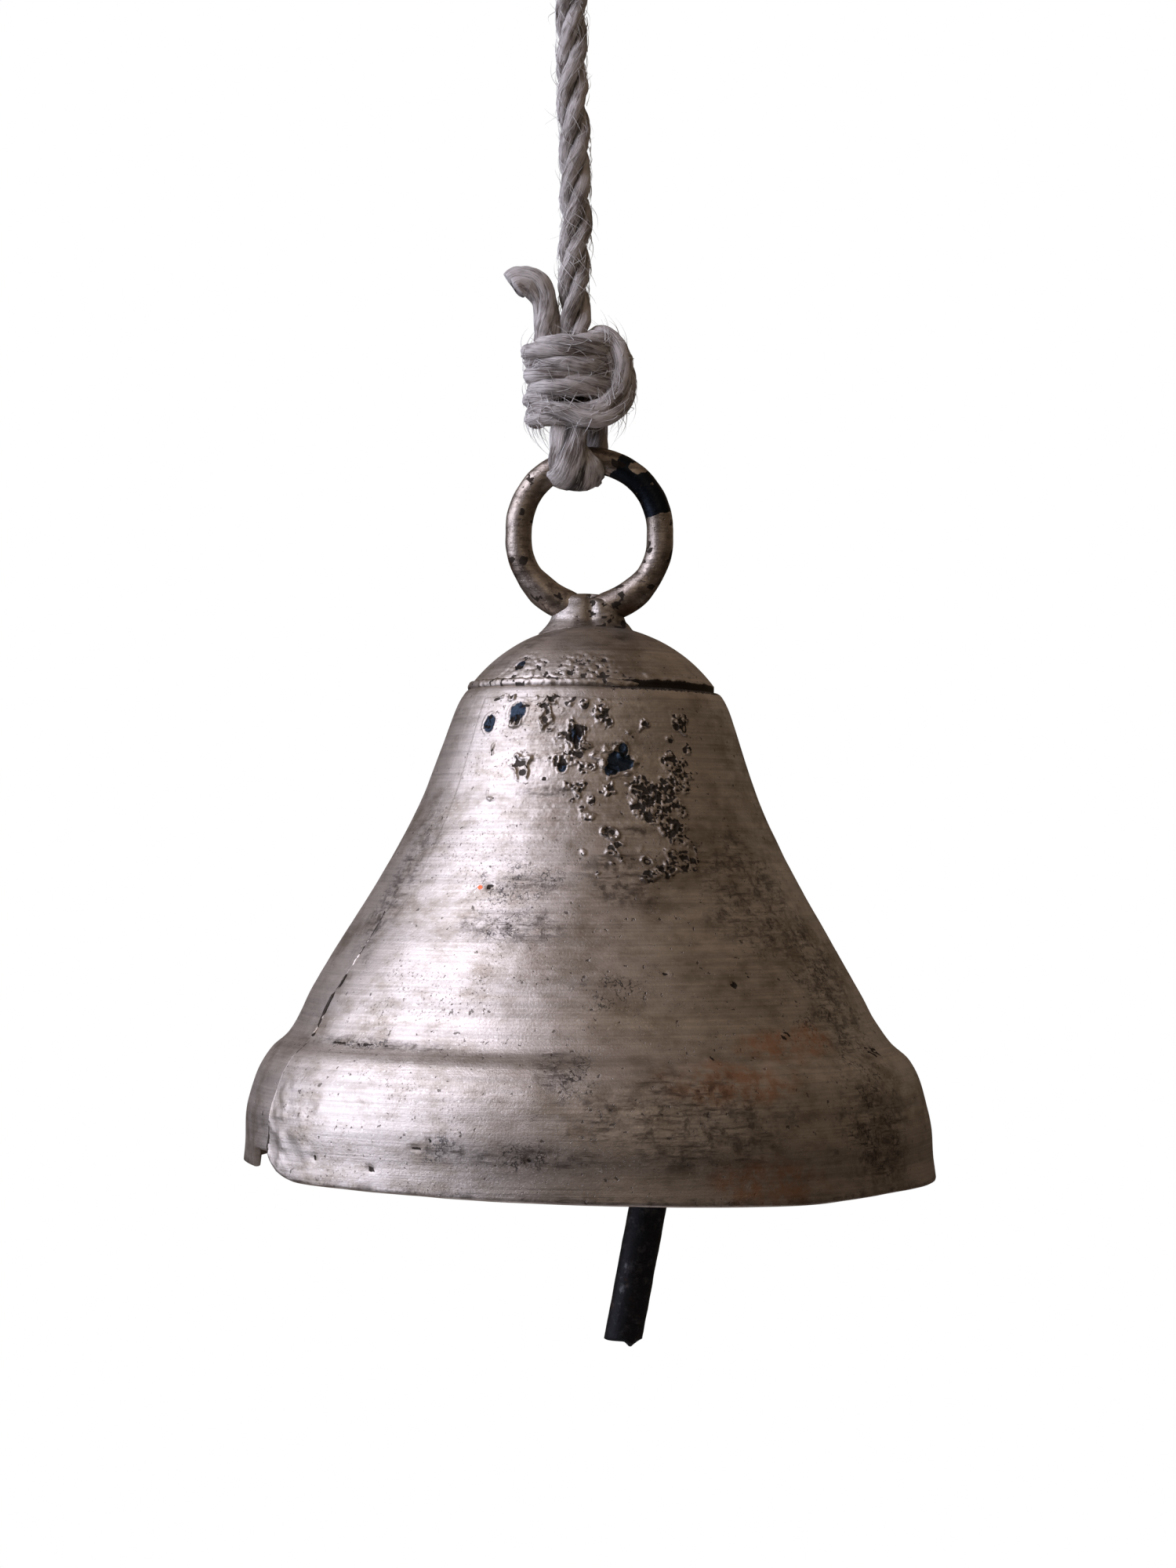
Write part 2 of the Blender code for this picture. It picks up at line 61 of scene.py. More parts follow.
# The sheet, as the frame's bell_body.
MOUTH = np.array([1.5, 0.0, -250.0]) * MM
TILT = math.radians(1.2)
MOUTH_RADIUS = 54.2 * MM
SHEET = 1.2 * MM
OUTLINE = [  # outer radius as a share of the mouth's, and height in millimetres
    (1.011, 0.0),
    (1.004, 3.6),
    (1.001, 8.0),
    (0.989, 11.5),
    (0.965, 15.6),
    (0.925, 19.0),
    (0.872, 21.6),
    (0.835, 25.0),
    (0.802, 29.0),
    (0.725, 36.3),
    (0.643, 43.6),
    (0.565, 51.2),
    (0.504, 58.0),
    (0.459, 64.5),
    (0.422, 70.5),
    (0.398, 74.0),
    (0.378, 75.9),
    (0.366, 76.4),
]
SECTION_POINTS = (196, 52)  # up the outer face, and down the inner one
RIM_SHIFT = 1.0 * MM
RIM_SHIFT_TOP = 26 * MM
SHOULDER_Z = 14 * MM
EDGE_SLANT = 1.1 * MM
LAP_ANGLE = math.radians(-149.5)
LAP = math.radians(20)
LAP_RAMP = math.radians(34)
LAP_RISE = 1.56 * MM
CORNER_LENGTH = 9.0 * MM
CORNER_HEIGHT = 4.4 * MM
NOTCH_RISE = 2.9 * MM
NOTCH_PAST_LAP = math.radians(11)
FEATHER = 0.03 * MM  # how far the lap's outer end stands out above the shoulder, where it is hammered down
FEATHER_Z = (23, 39)  # millimetres
CRUST_ANGLES = (-146, -46)  # degrees
CRUST_Z = (45.6, 75.3)  # millimetres
# The dirt and stain masks carry painted shade and shadow as well as real dirt and stains.
MASKS = ("dirt_and_shade", "bare", "copper", "veins", "stains_and_shade", "red_lead")

# The dome.
DOME_RADIUS = 24.1 * MM
DOME_TOP = 87.1 * MM
DOME_SKIRT_RADIUS = 19.2 * MM
DOME_FOOT = 73.6 * MM
DOME_HOLE = 3.0 * MM

# The rod that is ring and clapper eye.
ROD = 2.12 * MM
RING_X = -1.2 * MM
RING_RADIUS = 11.3 * MM
RING_TOP_ARC_Z = 102.2 * MM
RING_LOW_ARC_Z = 101.0 * MM
TAIL_X = 2.25 * MM
EYE_CENTRE = np.array([11.15, 0.0, 69.2]) * MM
EYE_RADIUS = 4.6 * MM

# The clapper and its link.
LINK_RADIUS = 7.4 * MM
LINK_WIRE = 1.5 * MM
CLAPPER_ROD = 3.0 * MM
CLAPPER_EYE_RADIUS = 7.9 * MM
CLAPPER_LENGTH = 76.8 * MM
CLAPPER_LEAN = math.radians(10.6)
CLEARANCE = 0.3 * MM

# The rope.
ROPE_ROUTE = [
    (0.1, -115.5),
    (0.1, -112.0),
    (-0.1, -104.5),
    (0.3, -98.5),
    (0.1, -91.0),
    (0.1, -84.5),
    (-0.4, -78.0),
    (-0.35, -71.0),
    (-0.5, -64.5),
    (-0.1, -59.25),
]
LOW_KNOT = np.array([0.2, 0.0, -124.0]) * MM
TOP_KNOT = np.array([0.0, 0.0, -50.6]) * MM
HOOK_LOW_Z = -37.6 * MM


# ---------------------------------------------------------------- shapes worked out with numpy


def lattice(cell, seed):
    """A fixed random number, 0 to 1, for each lattice cell: its three whole numbers mixed by large odd ones."""
    n = cell[..., 0] * 374761393 + cell[..., 1] * 668265263 + cell[..., 2] * 1442695041 + seed * 1274126177
    n = (n ^ (n >> 13)) * 1274126177
    n = n ^ (n >> 16)
    return (n & 0xFFFFFF) / 0xFFFFFF


def lumps(points, size, seed=0, octaves=1):
    """Smooth random lumps from -1 to 1. Random values at lattice corners a size apart are blended by
    3t^2 - 2t^3, and each further octave has half the size and half the height."""
    total = np.zeros(points.shape[:-1])
    height, whole = 1.0, 0.0
    for octave in range(octaves):
        q = points / size + 17.31 * (seed + octave + 1)
        cell = np.floor(q).astype(np.int64)
        t = q - cell
        t = t * t * (3 - 2 * t)
        for corner in itertools.product((0, 1), repeat=3):
            share = np.where(np.array(corner), t, 1 - t).prod(axis=-1)
            total += height * share * (2 * lattice(cell + np.array(corner), seed + octave) - 1)
        whole += height
        height /= 2
        size /= 2
    return total / whole


def step(value, low, high):
    """0 below low and 1 above high, with a smooth rise between: 3t^2 - 2t^3. It falls where low is above high."""
    t = np.clip((value - low) / (high - low), 0, 1)
    return t * t * (3 - 2 * t)


def unit(vectors):
    return vectors / np.maximum(np.linalg.norm(vectors, axis=-1, keepdims=True), 1e-12)


def through(points, count):
    """A Catmull-Rom curve through points, read at count places evenly spaced along its length."""
    p = np.asarray(points, float)
    p = np.concatenate([[2 * p[0] - p[1]], p, [2 * p[-1] - p[-2]]])
    t = np.linspace(0, 1, 40, endpoint=False)[None, :, None]
    a, b, c, d = (p[k : len(p) - 3 + k][:, None, :] for k in range(4))
    curve = 0.5 * (2 * b + (c - a) * t + (2 * a - 5 * b + 4 * c - d) * t**2 + (3 * b - 3 * c + d - a) * t**3)
    curve = np.concatenate([curve.reshape(-1, p.shape[1]), p[-2:-1]])
    return evenly(curve, count)


def evenly(curve, count):
    """The same line read at count places evenly spaced along it."""
    run = np.concatenate([[0], np.cumsum(np.linalg.norm(np.diff(curve, axis=0), axis=1))])
    at = np.linspace(0, run[-1], count)
    return np.stack([np.interp(at, run, curve[:, k]) for k in range(curve.shape[1])], axis=1)


def arc(centre, radius, start, end, count=40):
    """Points round a circle in the XZ plane, between two angles in degrees from +X."""
    a = np.radians(np.linspace(start, end, count))
    return np.stack([centre[0] + radius * np.cos(a), 0 * a, centre[1] + radius * np.sin(a)], axis=1)


def grid_quads(rows, cols, wrap_rows, wrap_cols):
    """The quads between neighbours of a grid of points, each side joined round or not."""
    i = np.arange(rows if wrap_rows else rows - 1)[:, None]
    j = np.arange(cols if wrap_cols else cols - 1)[None, :]
    below, right = (i + 1) % rows, (j + 1) % cols
    corners = [i * cols + j, i * cols + right, below * cols + right, below * cols + j]
    return np.stack(np.broadcast_arrays(*corners), axis=-1).reshape(-1, 4)


def end_caps(rows, cols):
    """The faces that close the first and the last row of a grid of points."""
    return [list(range(cols)), list(range((rows - 1) * cols, rows * cols))[::-1]]


def volume(points, quads):
    """Six times the volume that the quads shut in: the sum of the tetrahedra that they make with the origin."""
    a, b, c, d = (points[quads[:, k]] for k in range(4))
    return np.einsum("ij,ij->", a, np.cross(b, c)) + np.einsum("ij,ij->", a, np.cross(c, d))


def piece(name, points, quads, look, body, replaced=(), caps=(), masks=None):
    """A mesh object from points and quads, turned right side out, that rides on a body. masks are values for each
    point, or three for each, kept as attributes."""
    points = np.asarray(points, float).reshape(-1, 3)
    caps = [list(map(int, cap)) for cap in caps]
    if volume(points - points.mean(axis=0), quads) < 0:
        quads = quads[:, ::-1]
        caps = [cap[::-1] for cap in caps]
    mesh = bpy.data.meshes.new(name)
    mesh.from_pydata(points.tolist(), [], quads.tolist() + caps)
    for mask, values in (masks or {}).items():
        kind = "FLOAT_VECTOR" if np.ndim(values) > np.ndim(points) - 1 and values.shape[-1] == 3 else "FLOAT"
        data = mesh.attributes.new(mask, kind, "POINT").data
        data.foreach_set("vector" if kind == "FLOAT_VECTOR" else "value", np.asarray(values, np.float32).ravel())
    mesh.shade_smooth()
    mesh.materials.append(look)
    obj = bpy.data.objects.new(name, mesh)
    bpy.context.scene.collection.objects.link(obj)
    if body:
        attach(obj, body)
    if replaced:
        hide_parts(*replaced)
    return obj


def hung(points):
    """From the bell's own frame to the frame of the whole object."""
    c, s = math.cos(TILT), math.sin(TILT)
    turn = np.array([[c, 0, s], [0, 1, 0], [-s, 0, c]])
    return points @ turn.T + MOUTH


def rod_grid(path, radius, side, sides=28, rough=0.0, size=2.5 * MM, seed=0):
    """A round rod along a path: p + radius * (n cos a + b sin a), where n is the side vector with what points
    along the path taken out and b is across both. Each end closes to a point through three shrinking rings."""
    along = unit(np.gradient(path, axis=0))
    n = unit(side - (along @ side)[:, None] * along)
    b = np.cross(along, n)
    a = np.linspace(0, 2 * math.pi, sides, endpoint=False)[None, :, None]
    ring = np.cos(a) * n[:, None, :] + np.sin(a) * b[:, None, :]
    r = np.broadcast_to(np.asarray(radius, float), (len(path),))[:, None, None]
    points = path[:, None, :] + r * ring
    if rough:
        points = points + ring * (rough * lumps(points, size, seed, 3))[..., None]
    ends = []
    for k, out in ((0, -1), (-1, 1)):
        for share in (0.93, 0.7, 0.02):
            bulge = out * along[k] * r[k] * 0.45 * math.sqrt(1 - share**2)
            ends.append(path[k] + bulge + share * (points[k] - path[k]))
    points = np.concatenate([np.array(ends[:3])[::-1], points, np.array(ends[3:])])
    return points


def rod(name, path, radius, side, look, body, slot, replaced=(), masks=None, **more):
    """A rod piece. masks are functions of its points."""
    points = rod_grid(path, radius, np.asarray(side, float), **more)
    quads = grid_quads(*points.shape[:2], False, True)
    made = {mask: rule(points.reshape(-1, 3)) for mask, rule in (masks or {}).items()}
    return piece(name, points, quads, look, body, replaced, end_caps(*points.shape[:2]), made)


# ---------------------------------------------------------------- shader helpers


class Tree:
    """Adds nodes to one node tree and joins them in short calls."""

    def __init__(self, tree):
        self.tree = tree

    def feed(self, socket, value):
        if isinstance(value, bpy.types.NodeSocket):
            self.tree.links.new(value, socket)
        else:
            socket.default_value = value

    def add(self, kind, inputs=None, **settings):
        node = self.tree.nodes.new(kind)
        for setting, value in settings.items():
            setattr(node, setting, value)
        for socket, value in (inputs or {}).items():
            self.feed(node.inputs[socket], value)
        return node

    def math(self, operation, a, b=0.0, clamp=False):
        return self.add("ShaderNodeMath", {0: a, 1: b}, operation=operation, use_clamp=clamp).outputs[0]

    def mix(self, share, a, b, blend="MIX"):
        node = self.add("ShaderNodeMix", {0: share, 6: a, 7: b}, data_type="RGBA", blend_type=blend)
        return node.outputs[2]

    def between(self, share, a, b):
        return self.add("ShaderNodeMix", {0: share, 2: a, 3: b}, data_type="FLOAT").outputs[0]

    def rise(self, value, low, high):
        """0 below low, 1 above high, smooth between."""
        inputs = {"Value": value, "From Min": low, "From Max": high}
        return self.add("ShaderNodeMapRange", inputs, interpolation_type="SMOOTHSTEP").outputs[0]

    def noise(self, vector, scale, detail=2.0, roughness=0.5):
        inputs = {"Vector": vector, "Scale": scale, "Detail": detail, "Roughness": roughness}
        return self.add("ShaderNodeTexNoise", inputs).outputs["Fac"]

    def stretched(self, vector, scale):
        return self.add("ShaderNodeMapping", {"Vector": vector, "Scale": scale}).outputs[0]

    def place(self):
        return self.add("ShaderNodeTexCoord").outputs["Object"]

    def mask(self, name):
        return self.add("ShaderNodeAttribute", attribute_name=name).outputs["Fac"]

    def group(self, effect, inputs=None):
        node = self.add("ShaderNodeGroup", node_tree=effect)
        for socket, value in (inputs or {}).items():
            self.feed(node.inputs[socket], value)
        return node.outputs


def effect(name, inputs, outputs, build):
    """A node group with named inputs and outputs. build makes its nodes and returns one output value each."""
    made = bpy.data.node_groups.new(name, "ShaderNodeTree")
    for socket, (kind, value) in inputs.items():
        new = made.interface.new_socket(socket, in_out="INPUT", socket_type=kind)
        if value is not None:
            new.default_value = value
    for socket, kind in outputs.items():
        made.interface.new_socket(socket, in_out="OUTPUT", socket_type=kind)
    tree = Tree(made)
    start = made.nodes.new("NodeGroupInput")
    end = made.nodes.new("NodeGroupOutput")
    for socket, value in build(tree, start.outputs).items():
        made.links.new(value, end.inputs[socket])
    return made


FLOAT, VECTOR = "NodeSocketFloat", "NodeSocketVector"


def make_turned_lines():
    """Fine lines that run round the bell, from the turning tool and the brush: noise drawn out across the axis."""

    def build(t, given):
        fine = t.noise(t.stretched(given["Place"], (40, 40, 3000)), 1.0, 3.0)
        broad = t.noise(t.stretched(given["Place"], (16, 16, 620)), 1.0, 3.0)
        both = t.math("ADD", t.math("MULTIPLY", fine, 0.55), t.math("MULTIPLY", broad, 0.45))
        return {"Lines": t.rise(both, 0.32, 0.68), "Fine": fine}

    return effect("turned_lines", {"Place": (VECTOR, None)}, {"Lines": FLOAT, "Fine": FLOAT}, build)


def make_ragged_edge():
    """Makes a soft mask sharp, with a ragged edge: the mask plus noise, cut off at a half."""

    def build(t, given):
        noise = t.noise(given["Place"], given["Scale"], 4.0, 0.65)
        swing = t.math("MULTIPLY", t.math("SUBTRACT", noise, 0.5), given["Raggedness"])
        return {"Mask": t.rise(t.math("ADD", given["Mask"], swing), 0.42, 0.58)}

    inputs = {"Place": (VECTOR, None), "Mask": (FLOAT, 0.0), "Scale": (FLOAT, 1800.0), "Raggedness": (FLOAT, 1.0)}
    return effect("ragged_edge", inputs, {"Mask": FLOAT}, build)


def make_specks():
    """Scattered dark pits and bright grains of many sizes."""

    def build(t, given):
        small = t.noise(given["Place"], 2600.0, 3.0, 0.6)
        large = t.noise(given["Place"], 900.0, 3.0, 0.6)
        where = t.rise(t.noise(given["Place"], 130.0, 3.0), 0.40, 0.62)
        few = t.rise(large, 0.655, 0.70)
        fine = t.math("MULTIPLY", t.rise(small, 0.61, 0.68), where)
        dark = t.math("MAXIMUM", t.math("MULTIPLY", fine, 0.75), few)
        return {"Dark": dark, "Bright": t.rise(small, 0.36, 0.29), "Grain": small}

    return effect("specks", {"Place": (VECTOR, None)}, {"Dark": FLOAT, "Bright": FLOAT, "Grain": FLOAT}, build)


TURNED_LINES = make_turned_lines()
RAGGED_EDGE = make_ragged_edge()
SPECKS = make_specks()


def new_material(name):
    made = bpy.data.materials.new(name)
    made.use_nodes = True
    return made, Tree(made.node_tree), made.node_tree.nodes["Principled BSDF"]


def bump(t, shader, height, distance, strength=1.0):
    inputs = {"Height": height, "Distance": distance, "Strength": strength}
    t.feed(shader.inputs["Normal"], t.add("ShaderNodeBump", inputs).outputs[0])


def washed_brass(name, light, brown, lines_share, rough, iron=(0.040, 0.053, 0.070, 1)):
    """Brass wash over iron: a pale brass tone, brown stains, turned lines, specks, and the masks' dirt, bare iron,
    copper, veins, stains and red lead. The dirt and stain masks also carry painted shade and shadow."""
    made, t, shader = new_material(name)
    place = t.place()
    lines = t.group(TURNED_LINES, {"Place": place})
    specks = t.group(SPECKS, {"Place": place})
    stain = t.noise(place, 95.0, 7.0, 0.62)
    patch = t.noise(t.stretched(place, (260, 260, 620)), 1.0, 5.0, 0.6)
    brownness = t.math("ADD", t.math("MULTIPLY", stain, 0.6), t.math("MULTIPLY", patch, 0.4))
    colour = t.mix(t.rise(brownness, 0.42, 0.66), light, brown)
    shade = t.between(lines["Lines"], 1.0 - lines_share, 1.0 + lines_share)
    grey_shade = t.add("ShaderNodeCombineXYZ", {0: shade, 1: shade, 2: shade}).outputs[0]
    colour = t.mix(1.0, colour, grey_shade, "MULTIPLY")
    colour = t.mix(t.math("MULTIPLY", specks["Bright"], 0.5), colour, (0.80, 0.74, 0.66, 1))
    colour = t.mix(t.math("MULTIPLY", specks["Dark"], 0.72), colour, (0.055, 0.042, 0.034, 1))
    vein = t.math("ABSOLUTE", t.math("SUBTRACT", t.noise(place, 640.0, 3.0, 0.6), 0.5))
    veins = t.math("MULTIPLY", t.rise(vein, 0.034, 0.012), t.mask("veins"))
    veins = t.math("MULTIPLY", veins, t.rise(t.noise(place, 300.0, 2.0), 0.42, 0.58))
    colour = t.mix(t.math("MULTIPLY", veins, 0.85), colour, (0.05, 0.045, 0.045, 1))
    cloud = t.noise(place, 520.0, 6.0, 0.68)
    reddish = t.math("MULTIPLY", t.mask("copper"), t.rise(cloud, 0.34, 0.62))
    colour = t.mix(t.math("MULTIPLY", reddish, 0.66), colour, (0.44, 0.20, 0.10, 1))
    streak = t.noise(t.stretched(place, (240, 240, 1500)), 1.0, 6.0, 0.7)
    # The stain mask adds real stains and a painted shade line along the corner above the skirt's shoulder.
    grey = t.math("MULTIPLY", t.mask("stains_and_shade"), t.rise(t.math("MAXIMUM", cloud, streak), 0.44, 0.66))
    colour = t.mix(t.math("MULTIPLY", grey, 0.78), colour, (0.075, 0.058, 0.048, 1))
    red = t.group(RAGGED_EDGE, {"Place": place, "Mask": t.mask("red_lead"), "Scale": 2500.0, "Raggedness": 0.8})
    colour = t.mix(red["Mask"], colour, (0.55, 0.12, 0.05, 1))
    bare = t.group(RAGGED_EDGE, {"Place": place, "Mask": t.mask("bare"), "Scale": 1500.0, "Raggedness": 1.2})
    blue = t.mix(t.noise(place, 2200.0, 3.0), (0.006, 0.009, 0.015, 1), iron)
    colour = t.mix(bare["Mask"], colour, blue)
    # The dirt mask adds real dirt and also painted shade and shadow: the lap seam, the groove under the dome and
    # round the crusts' feet.
    dirt_and_shade = t.group(RAGGED_EDGE, {"Place": place, "Mask": t.mask("dirt_and_shade"), "Scale": 2600.0, "Raggedness": 0.7})
    colour = t.mix(t.math("MULTIPLY", dirt_and_shade["Mask"], 0.90), colour, (0.032, 0.023, 0.018, 1))
    t.feed(shader.inputs["Base Color"], colour)
    shader.inputs["Metallic"].default_value = 1.0
    shader.inputs["Specular Tint"].default_value = (0.72, 0.66, 0.60, 1)
    roughness = t.between(specks["Grain"], rough - 0.10, rough + 0.10)
    roughness = t.math("ADD", roughness, t.math("MULTIPLY", brownness, 0.10))
    t.feed(shader.inputs["Roughness"], t.between(dirt_and_shade["Mask"], roughness, 0.72))
    height = t.math("ADD", t.math("MULTIPLY", lines["Fine"], 0.55), t.math("MULTIPLY", specks["Grain"], 0.9))
    height = t.math("SUBTRACT", height, t.math("MULTIPLY", specks["Dark"], 0.7))
    bump(t, shader, height, 0.05 * MM)
    return made


def black_metal(name, dark, pale, rough):
    """Scaled, oiled iron: near black, with rubbed spots and a pitted surface."""
    made, t, shader = new_material(name)
    place = t.place()
    rubbed = t.rise(t.noise(place, 600.0, 6.0, 0.65), 0.50, 0.72)
    colour = t.mix(rubbed, dark, pale)
    rust = t.rise(t.noise(place, 260.0, 5.0, 0.6), 0.56, 0.70)
    colour = t.mix(t.math("MULTIPLY", rust, 0.5), colour, (0.075, 0.035, 0.018, 1))
    t.feed(shader.inputs["Base Color"], colour)
    shader.inputs["Metallic"].default_value = 0.85
    t.feed(shader.inputs["Roughness"], t.between(rubbed, rough + 0.12, rough - 0.08))
    bump(t, shader, t.noise(place, 1500.0, 5.0, 0.6), 0.12 * MM)
    return made


def jute(name, pale, dark):
    """Jute: fibres that run along the strand with a slight twist, pale and dark ones mixed, matt and hairy. The
    attribute fibre holds the cosine and sine of the place round the strand, and the place along it. A second
    attribute is 1 on the strand's outer side and 0 towards the rope's middle, where painted shade darkens the
    colour."""
    made, t, shader = new_material(name)
    along = t.add("ShaderNodeAttribute", attribute_name="fibre").outputs["Vector"]
    place = t.place()
    wide = t.noise(t.stretched(along, (2.6, 2.6, 0.22)), 1.0, 3.0, 0.6)
    thin = t.noise(t.stretched(along, (9.0, 9.0, 0.5)), 1.0, 3.0, 0.7)
    cloud = t.noise(place, 240.0, 3.0)
    tone = t.math("ADD", t.math("MULTIPLY", wide, 0.45), t.math("MULTIPLY", thin, 0.55))
    tone = t.math("ADD", tone, t.math("MULTIPLY", t.math("SUBTRACT", cloud, 0.5), 0.5))
    colour = t.mix(t.rise(tone, 0.36, 0.60), dark, pale)
    # Painted shade between the strands: the colour darkens towards the rope's middle.
    colour = t.mix(t.rise(t.mask("crevice_shade"), 0.62, 0.22), colour, [0.35 * c for c in dark[:3]] + [1])
    strand = t.rise(t.noise(t.stretched(along, (14.0, 14.0, 0.35)), 1.0, 2.0, 0.5), 0.58, 0.66)
    colour = t.mix(t.math("MULTIPLY", strand, 0.65), colour, (0.86, 0.80, 0.74, 1))
    t.feed(shader.inputs["Base Color"], colour)
    shader.inputs["Roughness"].default_value = 0.92
    shader.inputs["Specular IOR Level"].default_value = 0.2
    shader.inputs["Sheen Weight"].default_value = 0.25
    shader.inputs["Sheen Roughness"].default_value = 0.5
    bump(t, shader, thin, 0.25 * MM)
    return made


def plain_fibre(name, colour):
    made, t, shader = new_material(name)
    tone = t.noise(t.place(), 300.0, 2.0)
    t.feed(shader.inputs["Base Color"], t.mix(tone, [0.7 * c for c in colour[:3]] + [1], colour))
    shader.inputs["Roughness"].default_value = 0.7
    return made


# ---------------------------------------------------------------- light, floor and camera


def set_camera():
    camera = bpy.data.cameras.new("camera")
    camera.lens = 75.24
    camera.sensor_width = 36.0
    obj = bpy.data.objects.new("camera", camera)
    obj.location = (0.0022, -0.5225, -0.2014)
    obj.rotation_euler = (math.radians(91.44), 0.0, 0.0)
    bpy.context.scene.collection.objects.link(obj)
    bpy.context.scene.camera = obj


def area_light(name, place, target, size, power, colour):
    light = bpy.data.lights.new(name, "AREA")
    light.shape = "RECTANGLE"
    light.size, light.size_y = size
    light.energy = power
    light.color = colour
    obj = bpy.data.objects.new(name, light)
    way = Vector(place) - Vector(target)
    obj.location = place
    obj.rotation_euler = way.to_track_quat("Z", "Y").to_euler()
    bpy.context.scene.collection.objects.link(obj)


def set_room():
    """A white backdrop for the camera, a dim warm room in reflections, and a broad window at the left."""
    world = bpy.data.worlds.new("room")
    bpy.context.scene.world = world
    world.use_nodes = True
    nodes = world.node_tree.nodes
    links = world.node_tree.links
    dim = nodes["Background"]
    dim.inputs["Strength"].default_value = 1.0
    height = nodes.new("ShaderNodeSeparateXYZ")
    links.new(nodes.new("ShaderNodeTexCoord").outputs["Generated"], height.inputs[0])
    ramp = nodes.new("ShaderNodeValToRGB")
    ramp.color_ramp.elements[0].position = 0.47
    ramp.color_ramp.elements[0].color = (0.052, 0.038, 0.027, 1)
    ramp.color_ramp.elements[1].position = 0.86
    ramp.color_ramp.elements[1].color = (0.220, 0.172, 0.128, 1)
    share = nodes.new("ShaderNodeMath")
    share.operation = "MULTIPLY_ADD"
    share.inputs[1].default_value = 0.5
    share.inputs[2].default_value = 0.5
    links.new(height.outputs[2], share.inputs[0])
    links.new(share.outputs[0], ramp.inputs[0])
    links.new(ramp.outputs[0], dim.inputs["Color"])
    white = nodes.new("ShaderNodeBackground")
    white.inputs["Color"].default_value = (1, 1, 1, 1)
    rays = nodes.new("ShaderNodeLightPath")
    both = nodes.new("ShaderNodeMixShader")
    links.new(rays.outputs["Is Camera Ray"], both.inputs[0])
    links.new(dim.outputs[0], both.inputs[1])
    links.new(white.outputs[0], both.inputs[2])
    links.new(both.outputs[0], nodes["World Output"].inputs["Surface"])

    middle = (0.0, 0.0, -0.20)
    area_light("window", (-0.97, -0.20, 0.27), middle, (1.10, 1.40), 17.5, (0.72, 0.79, 1.0))
    area_light("window_high", (-0.66, -0.50, 0.55), middle, (0.7, 0.8), 3.0, (0.78, 0.80, 1.0))
    area_light("front_fill", (0.25, -1.5, 0.65), middle, (1.2, 0.9), 1.4, (1.0, 0.88, 0.74))
    area_light("back_right", (0.9, 1.0, 0.2), middle, (0.8, 0.8), 0.3, (1.0, 0.95, 0.88))

    scene = bpy.context.scene
    scene.view_settings.view_transform = "Standard"
    scene.view_settings.look = "None"


def lay_floor():
    """A round pale floor, well below the hanging bell."""
    a = np.linspace(0, 2 * math.pi, 96, endpoint=False)
    ring = np.stack([0.42 * np.cos(a), 0.42 * np.sin(a), 0 * a - 0.52], axis=1)
    mesh = bpy.data.meshes.new("floor")
    mesh.from_pydata(ring.tolist(), [], [list(range(96))])
    made, t, shader = new_material("floor")
    tone = t.mix(t.noise(t.place(), 30.0), (0.66, 0.65, 0.63, 1), (0.70, 0.69, 0.67, 1))
    t.feed(shader.inputs["Base Color"], tone)
    shader.inputs["Roughness"].default_value = 0.8
    mesh.materials.append(made)
    obj = bpy.data.objects.new("floor", mesh)
    bpy.context.scene.collection.objects.link(obj)


# ---------------------------------------------------------------- the bell's sheet


def cross_section(outside, inside):
    """The sheet's section as a closed line: up the outer face, over the top, down the inner face and round the
    rim. Returns radius, height, each point's outward direction, and 1 on the outer face, 0 elsewhere."""
    shape = through([(share * MOUTH_RADIUS, z * MM) for share, z in OUTLINE], outside)
    slope = unit(np.gradient(shape, axis=0))
    normal = np.stack([slope[:, 1], -slope[:, 0]], axis=1)
    back = evenly(shape - SHEET * normal, inside)
    back[:, 1] = np.clip(back[:, 1], 0, shape[-1, 1] - 0.3 * MM)
    back_normal = -np.stack([np.interp(back[:, 1], shape[:, 1], normal[:, k]) for k in range(2)], axis=1)
    turn = np.radians([-150, -120, -90, -60, -30])
    rim_middle = (shape[0] + back[0]) / 2
    rim = rim_middle + SHEET / 2 * np.stack([np.cos(turn), 0.55 * np.sin(turn)], axis=1)
    line = np.concatenate([shape, back[::-1], rim])
    normals = np.concatenate([normal, back_normal[::-1], np.stack([np.cos(turn), np.sin(turn)], axis=1)])
    outer = np.concatenate([np.ones(outside), np.zeros(inside + len(turn))])
    return line[:, 0], line[:, 1], unit(normals), outer


def columns(front, back):
    """Angles from the sheet's outer end, closest across the front and at the rounded corner."""
    total = 2 * math.pi + LAP
    corner = np.linspace(0, 1, 16) ** 1.7 * CORNER_LENGTH / MOUTH_RADIUS
    across = np.linspace(corner[-1], math.radians(132), front)[1:]
    notch = total - LAP - NOTCH_PAST_LAP
    round_back = np.linspace(across[-1], notch - 0.008, back)[1:]
    last = np.linspace(notch + 0.008, total, 24)
    return np.concatenate([corner, across, round_back, [notch - 0.004, notch + 0.004], last])


